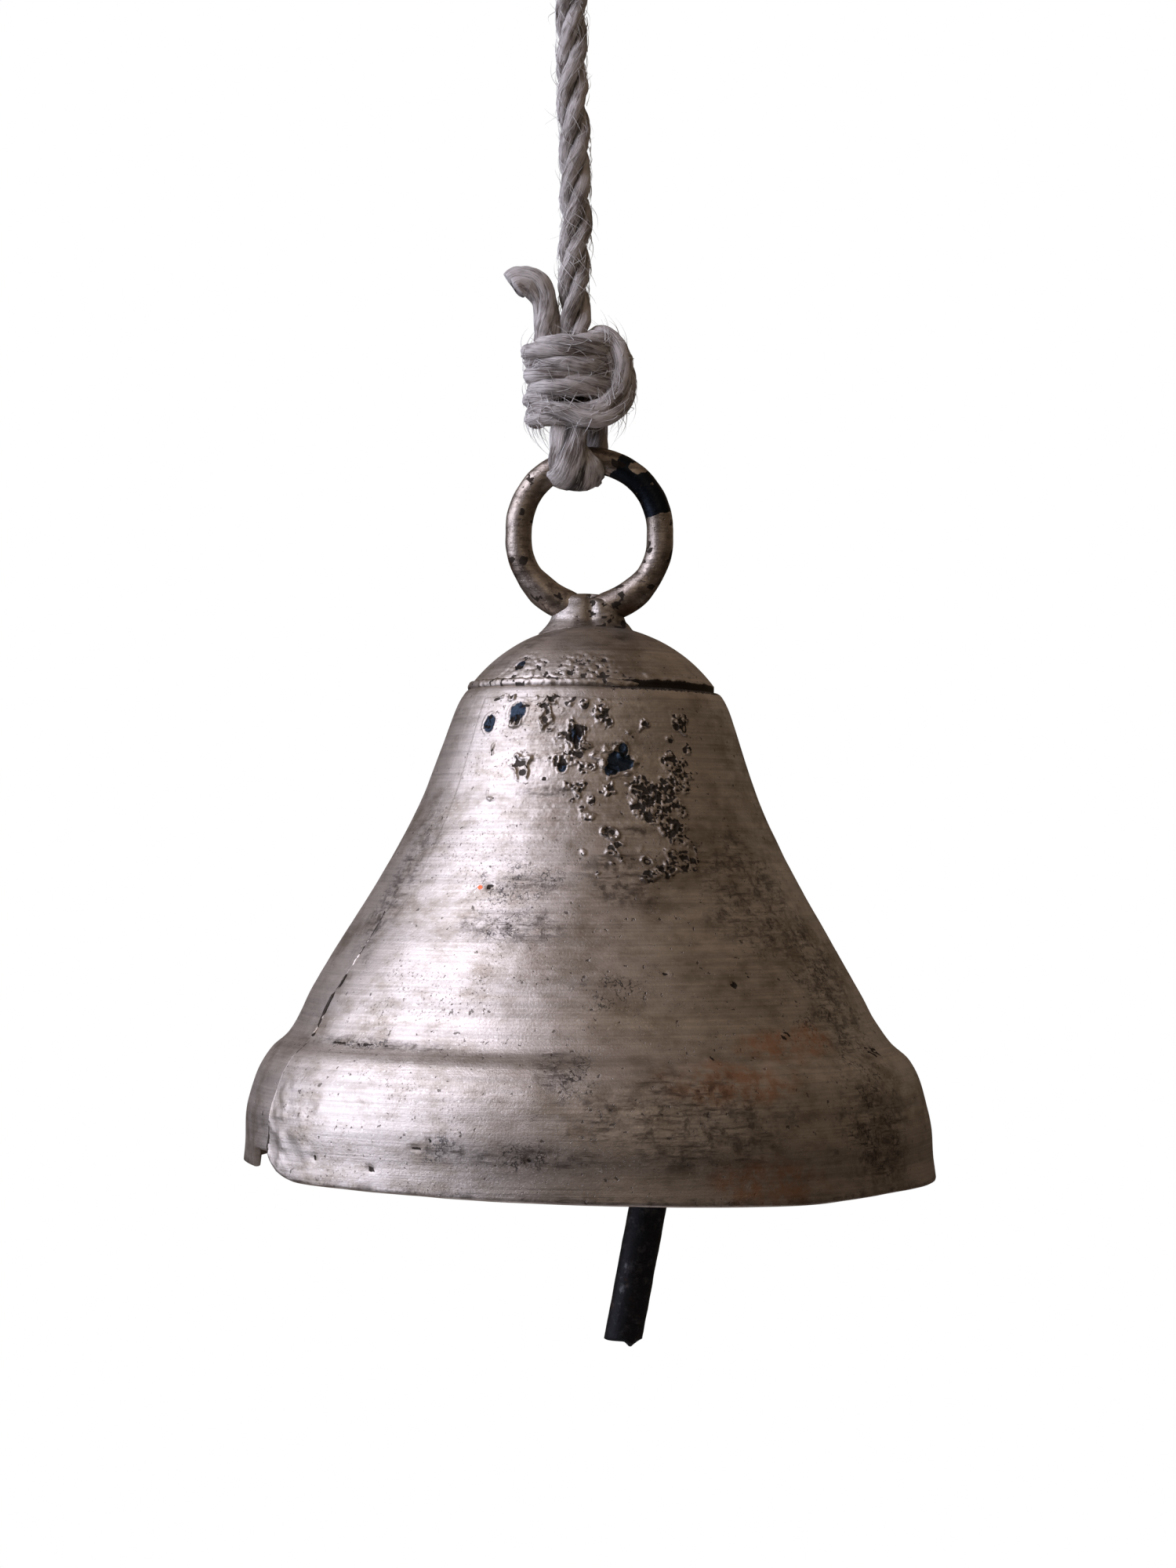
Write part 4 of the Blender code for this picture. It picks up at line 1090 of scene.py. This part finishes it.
def neck(look):
    """The lump of brass over both stubs: ovals stacked from a spread foot on the dome up to the fork of the ring,
    pinched between the stubs, with melted lumps all over."""
    stack = np.array([
        # half width, half depth, height in millimetres, sideways shift
        (5.4, 4.6, 83.6, 0.2),
        (7.9, 6.4, 85.2, 0.2),
        (7.4, 5.6, 86.1, 0.2),
        (6.7, 4.7, 86.9, 0.15),
        (6.0, 3.8, 87.9, 0.1),
        (5.65, 3.3, 89.1, 0.05),
        (5.5, 3.05, 90.2, 0.0),
        (5.2, 2.85, 91.0, 0.0),
        (3.9, 2.1, 91.6, 0.0),
        (0.3, 0.2, 91.8, 0.0),
    ])
    rows = through(stack * MM, 60)
    a = np.linspace(0, 2 * math.pi, 96, endpoint=False)[None, :]
    crease = np.exp(-(((rows[:, 0:1] * np.cos(a) - 0.4 * MM) / (0.8 * MM)) ** 2))
    pinch = 1 - 0.20 * crease * step(rows[:, 2:3], 86.0 * MM, 88.0 * MM)
    x = RING_X + rows[:, 3:4] + rows[:, 0:1] * np.cos(a)
    y = rows[:, 1:2] * np.sin(a) * pinch
    z = rows[:, 2:3] + 0.35 * MM * np.sin(2 * a + 0.8) * step(rows[:, 2:3], 88 * MM, 91 * MM)
    points = np.stack([x, y, z + 0 * a], axis=-1)
    way = np.stack([np.cos(a) + 0 * rows[:, :1], np.sin(a) + 0 * rows[:, :1], 0 * a + 0 * rows[:, :1]], axis=-1)
    melt = lumps(points, 2.2 * MM, 360, 3)
    lumpy = step(points[..., 0] - RING_X, -1.5 * MM, 1.5 * MM)
    points = points + way * (MM * (0.20 + 0.32 * lumpy) * melt)[..., None]
    masks = {name: np.zeros(points.shape[0] * points.shape[1]) for name in PLAIN_MASKS}
    masks["dirt_and_shade"] = ((0.3 + 0.6 * lumpy) * step(lumps(points, 1.0 * MM, 362, 3), -0.08, -0.34)).ravel()
    masks["stains_and_shade"] = (0.9 * np.maximum(step(lumps(points, 2.4 * MM, 363, 2), -0.2, 0.25), 0.7 * lumpy)).ravel()
    quads = grid_quads(*points.shape[:2], False, True)
    caps = end_caps(*points.shape[:2])
    return piece("neck", hung(points), quads, look, "bell", ["neck_braze"], caps, masks)


def inner_beads(look):
    """The beads of brass inside: along the sheet's inner end, and round the dome's lower edge."""
    heights = np.linspace(8, 70, 150) * MM
    slope_reach = 2.6 * MM
    past_end = 2 * math.pi + LAP + 0.055
    edge_bead("inner_seam_bead", past_end, heights, 0.75 * MM, -slope_reach, look, ["seam_braze"], 0.3, 380)
    turn = np.linspace(0, 2 * math.pi, 260, endpoint=False)
    radius = DOME_SKIRT_RADIUS - 0.5 * MM
    around = np.linspace(0, 2 * math.pi, 14, endpoint=False)[None, :]
    bead = 0.75 * MM
    r = radius + bead * np.cos(around)
    z = DOME_FOOT - CLEARANCE - bead - bead * np.sin(around) + 0 * turn[:, None]
    points = np.stack([r * np.cos(turn)[:, None], r * np.sin(turn)[:, None], z], axis=-1)
    level = DOME_FOOT - CLEARANCE - bead
    middle = np.stack([radius * np.cos(turn), radius * np.sin(turn), 0 * turn + level], axis=-1)
    points = points + unit(points - middle[:, None, :]) * (0.25 * MM * lumps(points, 1.4 * MM, 385, 2))[..., None]
    masks = {name: np.zeros(points.shape[0] * points.shape[1]) for name in PLAIN_MASKS}
    masks["dirt_and_shade"] = (0.8 * step(lumps(points, 1.3 * MM, 386, 2), -0.1, -0.5)).ravel()
    quads = grid_quads(*points.shape[:2], True, True)
    piece("inner_crown_bead", hung(points), quads, look, "bell", ["crown_braze"], (), masks)


# ---------------------------------------------------------------- link and clapper


def link_and_clapper(look):
    """The wire ring that the clapper hangs from, and the clapper: one rod whose upper end is bent to an eye and
    whose foot is sheared off."""
    low, high = (np.array(corner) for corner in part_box("clapper_link"))
    centre = (low + high) / 2
    turn = np.linspace(0, 2 * math.pi, 120)
    path = centre + LINK_RADIUS * np.stack([0 * turn, np.cos(turn), np.sin(turn)], axis=1)
    around = np.linspace(0, 2 * math.pi, 20, endpoint=False)[None, :, None]
    out = unit(path - centre)[:-1, None, :]
    points = path[:-1, None, :] + LINK_WIRE * (np.cos(around) * out + np.sin(around) * np.array([1.0, 0, 0]))
    points = points + 0.05 * MM * lumps(points, 2 * MM, 400, 2)[..., None] * out
    quads = grid_quads(*points.shape[:2], True, True)
    piece("link_ring", points, quads, look, "link", ["clapper_link"])

    pivot = centre - np.array([0, 0, LINK_RADIUS])
    c, s = math.cos(CLAPPER_LEAN), math.sin(CLAPPER_LEAN)
    lean = np.array([[c, 0, s], [0, 1, 0], [-s, 0, c]])
    eye_centre = np.array([0, 0, LINK_WIRE + CLEARANCE + CLAPPER_ROD - CLAPPER_EYE_RADIUS])
    shank = np.array([[CLAPPER_EYE_RADIUS, 0, -CLAPPER_LENGTH], [CLAPPER_EYE_RADIUS, 0, 0]])
    line = np.concatenate([evenly(shank, 90), arc((0, 0), CLAPPER_EYE_RADIUS, 0, 277, 90)[1:]])
    line = evenly(line, 230)
    points = rod_grid(line, CLAPPER_ROD, np.array([0.0, 1.0, 0.0]), 36, 0.10 * MM, 3.0 * MM, 404)
    foot = -CLAPPER_LENGTH
    across = (points[..., 0] - CLAPPER_EYE_RADIUS) / CLAPPER_ROD
    near_foot = step(points[..., 2], foot + 2.4 * MM, foot)
    sheared = 0.55 * MM * across - 0.9 * MM * np.exp(-(((across - 0.42) / 0.22) ** 2)) + 0.3 * MM
    below = points[..., 2] < foot + 0.02 * MM
    points[..., 2] = np.where(below, foot + 0.25 * (points[..., 2] - foot), points[..., 2]) + near_foot * sheared
    quads = grid_quads(*points.shape[:2], False, True)
    points = points @ lean.T + eye_centre + pivot
    caps = end_caps(*points.shape[:2])
    piece("clapper_rod", points, quads, look, "clapper", ["clapper"], caps)


# ---------------------------------------------------------------- rope


def laid_rope(path, side, wide, thin, pitch, seed, sides=18, share=0.53, loose=0.0, phase=0.0, strands=3):
    """Rope laid of strands that wind round a path. Strand k's middle line is
    p + (1 - share) * (wide cos f n + thin sin f b), with f = 2 pi s / pitch + 2 pi k / strands. Its surface stands
    share times as far out again, rippled by its fibres. n is the side vector across the path, b is across both."""
    along = unit(np.gradient(path, axis=0))
    side = np.asarray(side, float)
    n = unit(side - np.sum(along * side, axis=-1, keepdims=True) * along)
    b = np.cross(along, n)
    run = np.concatenate([[0], np.cumsum(np.linalg.norm(np.diff(path, axis=0), axis=1))])
    a = np.linspace(0, 2 * math.pi, sides, endpoint=False)[None, :]
    wide = np.broadcast_to(np.asarray(wide, float), run.shape)
    thin = np.broadcast_to(np.asarray(thin, float), run.shape)
    taper = np.concatenate([[0.05, 0.62, 0.9], np.ones(len(path) - 6), [0.9, 0.62, 0.05]])
    all_points, all_quads, all_caps, all_fibre, all_crevice_shade = [], [], [], [], []
    for k in range(strands):
        f = 2 * math.pi * (run / pitch + k / strands) + phase
        off = (1 - share) * (np.cos(f) * wide)[:, None] * n + (1 - share) * (np.sin(f) * thin)[:, None] * b
        middle = path + off
        turn = a - (2 * math.pi * run / (2.2 * pitch))[:, None]
        ripple = 1 + 0.05 * np.cos(7 * turn + 5 * k) + 0.035 * np.cos(13 * turn + 2.0 * k)
        rr = share * taper[:, None] * ripple
        points = middle[:, None, :] + (rr * wide[:, None] * np.cos(a))[..., None] * n[:, None, :]
        points = points + (rr * thin[:, None] * np.sin(a))[..., None] * b[:, None, :]
        rough = lumps(points, 1.9 * MM, seed + 11 * k, 2)
        points = points + (0.12 * MM + loose) * rough[..., None] * unit(points - middle[:, None, :])
        start = len(all_points) * points.shape[0] * points.shape[1]
        all_quads.append(grid_quads(*points.shape[:2], False, True) + start)
        last = start + (len(path) - 1) * sides
        all_caps += [list(range(start, start + sides)), list(range(last, last + sides))[::-1]]
        all_fibre.append(np.stack([np.cos(turn), np.sin(turn), 0 * turn + run[:, None] / MM + 37.0 * k], axis=-1))
        # The strand's outer share, which drives the painted shade between the strands.
        outward = np.sum(unit(points - middle[:, None, :]) * unit(off)[:, None, :], axis=-1)
        all_crevice_shade.append((0.5 + 0.5 * outward).ravel())
        all_points.append(points)
    fibre = np.concatenate([f.reshape(-1, 3) for f in all_fibre])
    points = np.concatenate([p.reshape(-1, 3) for p in all_points])
    return points, np.concatenate(all_quads), all_caps, fibre, np.concatenate(all_crevice_shade)


def joined(parts):
    """Several (points, quads, caps, fibre, painted crevice shade) as one."""
    points, quads, caps, fibres, crevice_shades, start = [], [], [], [], [], 0
    for p, q, c, f, g in parts:
        crevice_shades.append(g)
        points.append(p)
        quads.append(q + start)
        caps += [[i + start for i in cap] for cap in c]
        fibres.append(f)
        start += len(p)
    return np.concatenate(points), np.concatenate(quads), caps, np.concatenate(fibres), np.concatenate(crevice_shades)


def rope_piece(name, parts, look, body, replaced):
    points, quads, caps, fibre, crevice_shade = joined(parts)
    return piece(name, points, quads, look, body, replaced, caps, {"fibre": fibre, "crevice_shade": crevice_shade})


def stray_fibres(name, roots, away, run, length, look, body, seed, bend):
    """Thin hairs. Each starts at a root and goes along its run, bending back towards the rope as a circle of
    radius bend does: away * s^2 / (2 bend). It bows out by lift * sin(2.6 t) and sways by a slow wave. Its section
    is a triangle that thins to its tip."""
    lift, thick = 0.30 * MM, 0.065 * MM
    rng = np.random.default_rng(seed)
    count = len(roots)
    steps, sides = 9, 3
    t = np.linspace(0, 1, steps)[None, :, None]
    size = length * rng.uniform(0.35, 1.3, (count, 1, 1))
    bow = lift * rng.uniform(0.15, 1.2, (count, 1, 1)) ** 2
    cross = np.cross(away, run)
    sway = rng.uniform(-1, 1, (count, 1, 1)) * 0.20 * size
    wave = rng.uniform(0, 6.3, (count, 1, 1))
    out = bow * np.sin(2.6 * t) - (size * t) ** 2 / (2 * bend)
    line = roots[:, None, :] + run[:, None, :] * size * t + away[:, None, :] * out
    line = line + cross[:, None, :] * sway * (np.sin(3.2 * t + wave) - np.sin(wave))
    a = np.array([0, 2.094, 4.189])[None, None, :, None]  # a third of a turn apart
    r = thick * (1.15 - t)[..., None] * rng.uniform(0.6, 1.3, (count, 1, 1, 1))
    points = line[:, :, None, :] + r * (np.cos(a) * away[:, None, None, :] + np.sin(a) * cross[:, None, None, :])
    first = (steps * sides * np.arange(count))[:, None, None]
    quads = (grid_quads(steps, sides, False, True)[None] + first).reshape(-1, 4)
    caps = (np.array(end_caps(steps, sides))[None] + first).reshape(-1, sides).tolist()
    return piece(name, points, quads, look, body, (), caps)


def scatter(points, centre_line, count, seed):
    """Random roots on a cloud of surface points, the way out from the centre line at each, and a random run across
    that way."""
    rng = np.random.default_rng(seed)
    roots = points[rng.integers(0, len(points), count)]
    nearest = np.argmin(np.linalg.norm(roots[:, None, :] - centre_line[None], axis=-1), axis=1)
    away = unit(roots - centre_line[nearest])
    run = rng.normal(size=(count, 3))
    run = run - away * np.sum(run * away, axis=1, keepdims=True)
    return roots + 0.08 * MM * away, away, unit(run)


def knot_parts(centre, up, seed):
    """A stopper of rope: three wraps, a turn that comes down over one side, under the front and round the back,
    and a core. up is 1 for the lower knot and -1 for the upper, which is the same turned upside down."""

    def put(points):
        p = np.array(points, float) * MM
        p[:, 2] *= up
        p[:, 0] *= up
        return centre + p

    wrap_turn = np.radians(np.linspace(60, -1010, 260))
    down = np.linspace(0, 1, 260)
    wrap = np.stack([
        -0.9 + (6.3 + 0.5 * np.sin(2.2 * wrap_turn) - 1.0 * down) * np.cos(wrap_turn),
        (4.7 - 0.4 * down) * np.sin(wrap_turn),
        6.1 - 9.3 * down - 0.25 * np.sin(wrap_turn),
    ], axis=1)
    parts = [laid_rope(put(wrap), (0, 0, 1), 2.15 * MM, 2.2 * MM, 26 * MM, seed, share=0.60, loose=0.10 * MM)]
    over = through([
        (1.5, 3.6, 5.8), (3.6, -0.6, 6.7), (6.3, -2.3, 4.4), (7.3, -2.7, 0.9), (7.0, -3.0, -2.6),
        (4.8, -4.0, -5.2), (1.6, -4.7, -6.0), (-1.8, -4.4, -5.4), (-4.8, -3.0, -5.2), (-6.3, -0.6, -5.4),
        (-5.6, 2.2, -5.2), (-2.0, 3.8, -4.8), (2.5, 3.6, -4.6),
    ], 220)
    thick = (2.45 - 0.45 * step(np.linspace(0, 1, 220), 0.42, 0.6)) * MM
    lay = 30 * MM
    parts.append(laid_rope(put(over), (0.3, 1, 0.2), thick, thick, lay, seed + 31, share=0.62, loose=0.08 * MM))
    core = through([(0.0, 0.6, 6.6), (0.2, 0.6, 3), (0.3, 0.4, -3), (0.3, 0.2, -7.6)], 90)
    parts.append(laid_rope(put(core), (1, 0, 0), 3.3 * MM, 3.0 * MM, 24 * MM, seed + 61))
    return parts


def tail_parts(centre, route, seed):
    path = through(centre + np.array(route) * MM, 120)
    share = np.linspace(0, 1, 120)
    swell = 2.3 - 0.15 * step(share, 0.15, 0.4) + 0.45 * step(share, 0.5, 0.8)
    return [laid_rope(path, (0, 1, 0), swell * MM, swell * MM, 34 * MM, seed, share=0.66, loose=0.10 * MM)]


def rope(look, hair):
    """The whole rope: free stretch, two knots, their loops and cut tails, and hairs on the free stretch and the two
    knots.
    """
    line = through([(x * MM, 0.0, z * MM) for x, z in ROPE_ROUTE], 300)
    long_line = np.concatenate([[line[0] - (0, 0, 2.4 * MM)], line, [line[-1] + (0, 0, 2.0 * MM)]])
    laid = laid_rope(evenly(long_line, 300), (1, 0, 0), 2.55 * MM, 2.5 * MM, 22 * MM, 500, sides=22,
                     loose=0.10 * MM, phase=0.6)
    free = rope_piece("jute_rope", [laid], look, None, ["rope_line"])
    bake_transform(free)

    low = knot_parts(LOW_KNOT, 1, 520)
    low_knot = rope_piece("low_knot_rope", low, look, "rope_end", ["lower_knot"])
    top = knot_parts(TOP_KNOT, -1, 560)
    top_knot = rope_piece("top_knot_rope", top, look, "rope", ["upper_knot"])

    low_route = [
        (-4.6, -0.4, 5.0), (-4.6, -0.2, 8.9), (-4.6, 0.0, 11.4), (-5.1, 0.1, 13.8), (-6.7, 0.1, 15.7),
        (-8.8, 0.0, 16.0), (-10.0, -0.1, 15.2),
    ]
    low_tail = rope_piece("low_cut_end", tail_parts(LOW_KNOT, low_route, 600), look, "rope_end", ["lower_tail"])
    top_route = [(6.8, 0.0, -0.6), (9.9, 0.0, -1.0), (12.5, 0.2, -0.6), (15.0, 0.2, 1.2), (16.6, 0.0, 4.4)]
    top_tail = rope_piece("top_cut_end", tail_parts(TOP_KNOT, top_route, 620), look, "rope", ["upper_tail"])

    bar = ring_bar()
    around = [
        (-1.3, -1.6, 6.8), (-1.3, -3.2, 3.4), (-1.1, -3.75, 0.6), (-0.7, -2.75, -2.5), (-0.6, 0.0, -3.75),
        (-0.6, 2.7, -2.5), (-0.8, 3.6, 0.4), (-0.6, 3.2, 3.2), (-0.4, 1.6, 6.6),
    ]
    width = np.interp(np.linspace(0, 1, 180), (0, 0.2, 0.42, 0.6, 1), (3.1, 3.2, 5.1, 5.1, 3.2)) * MM
    path = through(bar + np.array(around) * MM, 180)
    loops = [laid_rope(path, (1, 0, 0), width, 1.55 * MM, 30 * MM, 640, share=0.62, loose=0.05 * MM)]
    points = loops[0][0]
    across = (points[:, 0] - bar[0] + 0.6 * MM) / (5 * MM)
    points[:, 2] += 1.5 * MM * across**2 * step(points[:, 2] - bar[2], 1.5 * MM, -3.5 * MM)
    behind = [(2.9, 0.9, 6.8), (3.1, 2.3, 3.4), (2.9, 3.3, 0.6), (2.6, 2.9, -1.6), (2.0, 1.2, -3.2)]
    path = through(bar + np.array(behind) * MM, 90)
    loops.append(laid_rope(path, (1, 0, 0), 1.9 * MM, 1.5 * MM, 20 * MM, 660, share=0.62, loose=0.05 * MM))
    low_loop = rope_piece("low_loop_rope", loops, look, "rope_end", ["lower_loop"])

    hook_bar = np.array([0, 0, HOOK_LOW_Z])
    loops = []
    for at, seed in ((-2.3, 680), (2.3, 700)):
        side_line = [
            (2.4, at, -6.2), (4.0, at, -3.6), (4.25, at, 0.0), (3.0, at, 3.1), (0.0, at, 4.3),
            (-3.0, at, 3.1), (-4.25, at, 0.0), (-4.0, at, -3.6), (-2.4, at, -6.2),
        ]
        path = through(hook_bar + np.array(side_line) * MM, 130)
        loops.append(laid_rope(path, (0, 1, 0), 2.5 * MM, 1.55 * MM, 22 * MM, seed, share=0.58, loose=0.06 * MM))
    top_loop = rope_piece("top_loop_rope", loops, look, "rope", ["upper_loop"])

    straight = line[20:-20]
    rng = np.random.default_rng(800)
    count = 330
    pick = rng.integers(0, len(straight), count)
    turn = rng.uniform(0, 2 * math.pi, count)
    away = np.stack([np.cos(turn), np.sin(turn), 0 * turn], axis=1)
    run = unit(np.stack([-0.6 * np.sin(turn), 0.6 * np.cos(turn), rng.choice([-1, 1], count) * 1.0], axis=1))
    roots = straight[pick] + 2.45 * MM * away
    rope_hair = stray_fibres("rope_hairs", roots, away, run, 5.0 * MM, hair, None, 801, 8 * MM)
    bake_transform(rope_hair)
    for name, made, body, centre, reach, seed in (
        ("low_knot_hairs", low, "rope_end", LOW_KNOT, 9 * MM, 810),
        ("top_knot_hairs", top, "rope", TOP_KNOT, -1 * MM, 820),
    ):
        cloud = joined(made[:2])[0]
        middle = centre + np.linspace(-6, 6, 30)[:, None] * MM * np.array([0, 0, 1.0])
        out = np.linalg.norm((cloud - centre)[:, :2], axis=1)
        cloud = cloud[(out > 5.6 * MM) & (cloud[:, 2] < centre[2] + reach)]
        roots = scatter(cloud, middle, 620, seed)
        stray_fibres(name, *roots, 5.0 * MM, hair, body, seed + 1, 5.5 * MM)


def ring_bar():
    """The middle of the ring's uppermost stretch, where the loop lies."""
    _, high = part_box("hanging_ring")
    return np.array([0.6 * MM, 0.0, high[2] - 2.1 * MM])


# ---------------------------------------------------------------- ceiling fitting


def hook(look):
    """The hook, bent in the YZ plane, a rod like the frame's with its tip rounded."""
    _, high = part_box("ceiling_hook")
    bend_radius = 9.5 * MM
    middle = HOOK_LOW_Z + bend_radius
    turned = lambda p: np.stack([p[:, 1] * 0, p[:, 0], p[:, 2]], axis=1)
    curve = turned(arc((0, middle), bend_radius, 0, -180, 90))
    top = (0, 0, high[2] - 0.4 * MM)
    knee = (0, 0, middle + 8.0 * MM)
    out = (0, bend_radius, middle + 3.2 * MM)
    back = (0, bend_radius, middle)
    path = np.concatenate([
        [top],
        corner_arc(top, knee, out, 4.0 * MM),
        corner_arc(knee, out, back, 3.0 * MM),
        curve,
        [(0, -bend_radius - 1.2 * MM, middle + 5.0 * MM)],
    ])
    return rod("hook_rod", evenly(path, 260), 2.5 * MM, (1.0, 0.0, 0.0), look, "ceiling_fitting", "forged_iron",
               ["ceiling_hook"], sides=26, rough=0.14 * MM, size=2.6 * MM, seed=900)


def main():
    set_camera()
    set_room()
    lay_floor()

    brass = washed_brass("brass_wash", (0.51, 0.44, 0.385, 1), (0.29, 0.235, 0.185, 1), 0.16, 0.42)
    ring_iron = (0.024, 0.026, 0.030, 1)
    ring_metal = washed_brass("ring_metal", (0.44, 0.365, 0.305, 1), (0.20, 0.15, 0.115, 1), 0.04, 0.36, ring_iron)
    braze = washed_brass("braze", (0.48, 0.42, 0.37, 1), (0.26, 0.205, 0.16, 1), 0.05, 0.44)
    iron = black_metal("black_iron", (0.020, 0.019, 0.021, 1), (0.075, 0.070, 0.070, 1), 0.46)
    forged = black_metal("forged_iron", (0.045, 0.042, 0.040, 1), (0.14, 0.13, 0.12, 1), 0.50)
    strands = jute("jute", (0.66, 0.585, 0.54, 1), (0.15, 0.115, 0.095, 1))
    hair = plain_fibre("jute_hair", (0.92, 0.86, 0.80, 1))

    rope(strands, hair)
    bell_body(brass)
    crown_dome(brass)
    crown_fillet(brass)
    ring(ring_metal)
    neck(braze)
    crusted_front(brass)
    heights = np.linspace(22.0, 41, 90) * MM
    proud = LAP_RISE + (FEATHER - LAP_RISE) * step(heights / MM, *FEATHER_Z) - 0.25 * MM
    edge_bead("outer_seam_bead", 0.004, heights, np.linspace(0.44, 0.16, 90) * MM, proud, brass, (), 0.30)
    inner_beads(braze)
    link_and_clapper(iron)
    hook(forged)
    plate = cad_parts["ceiling_plate"]
    plate.data.materials.clear()
    plate.data.materials.append(forged)


main()
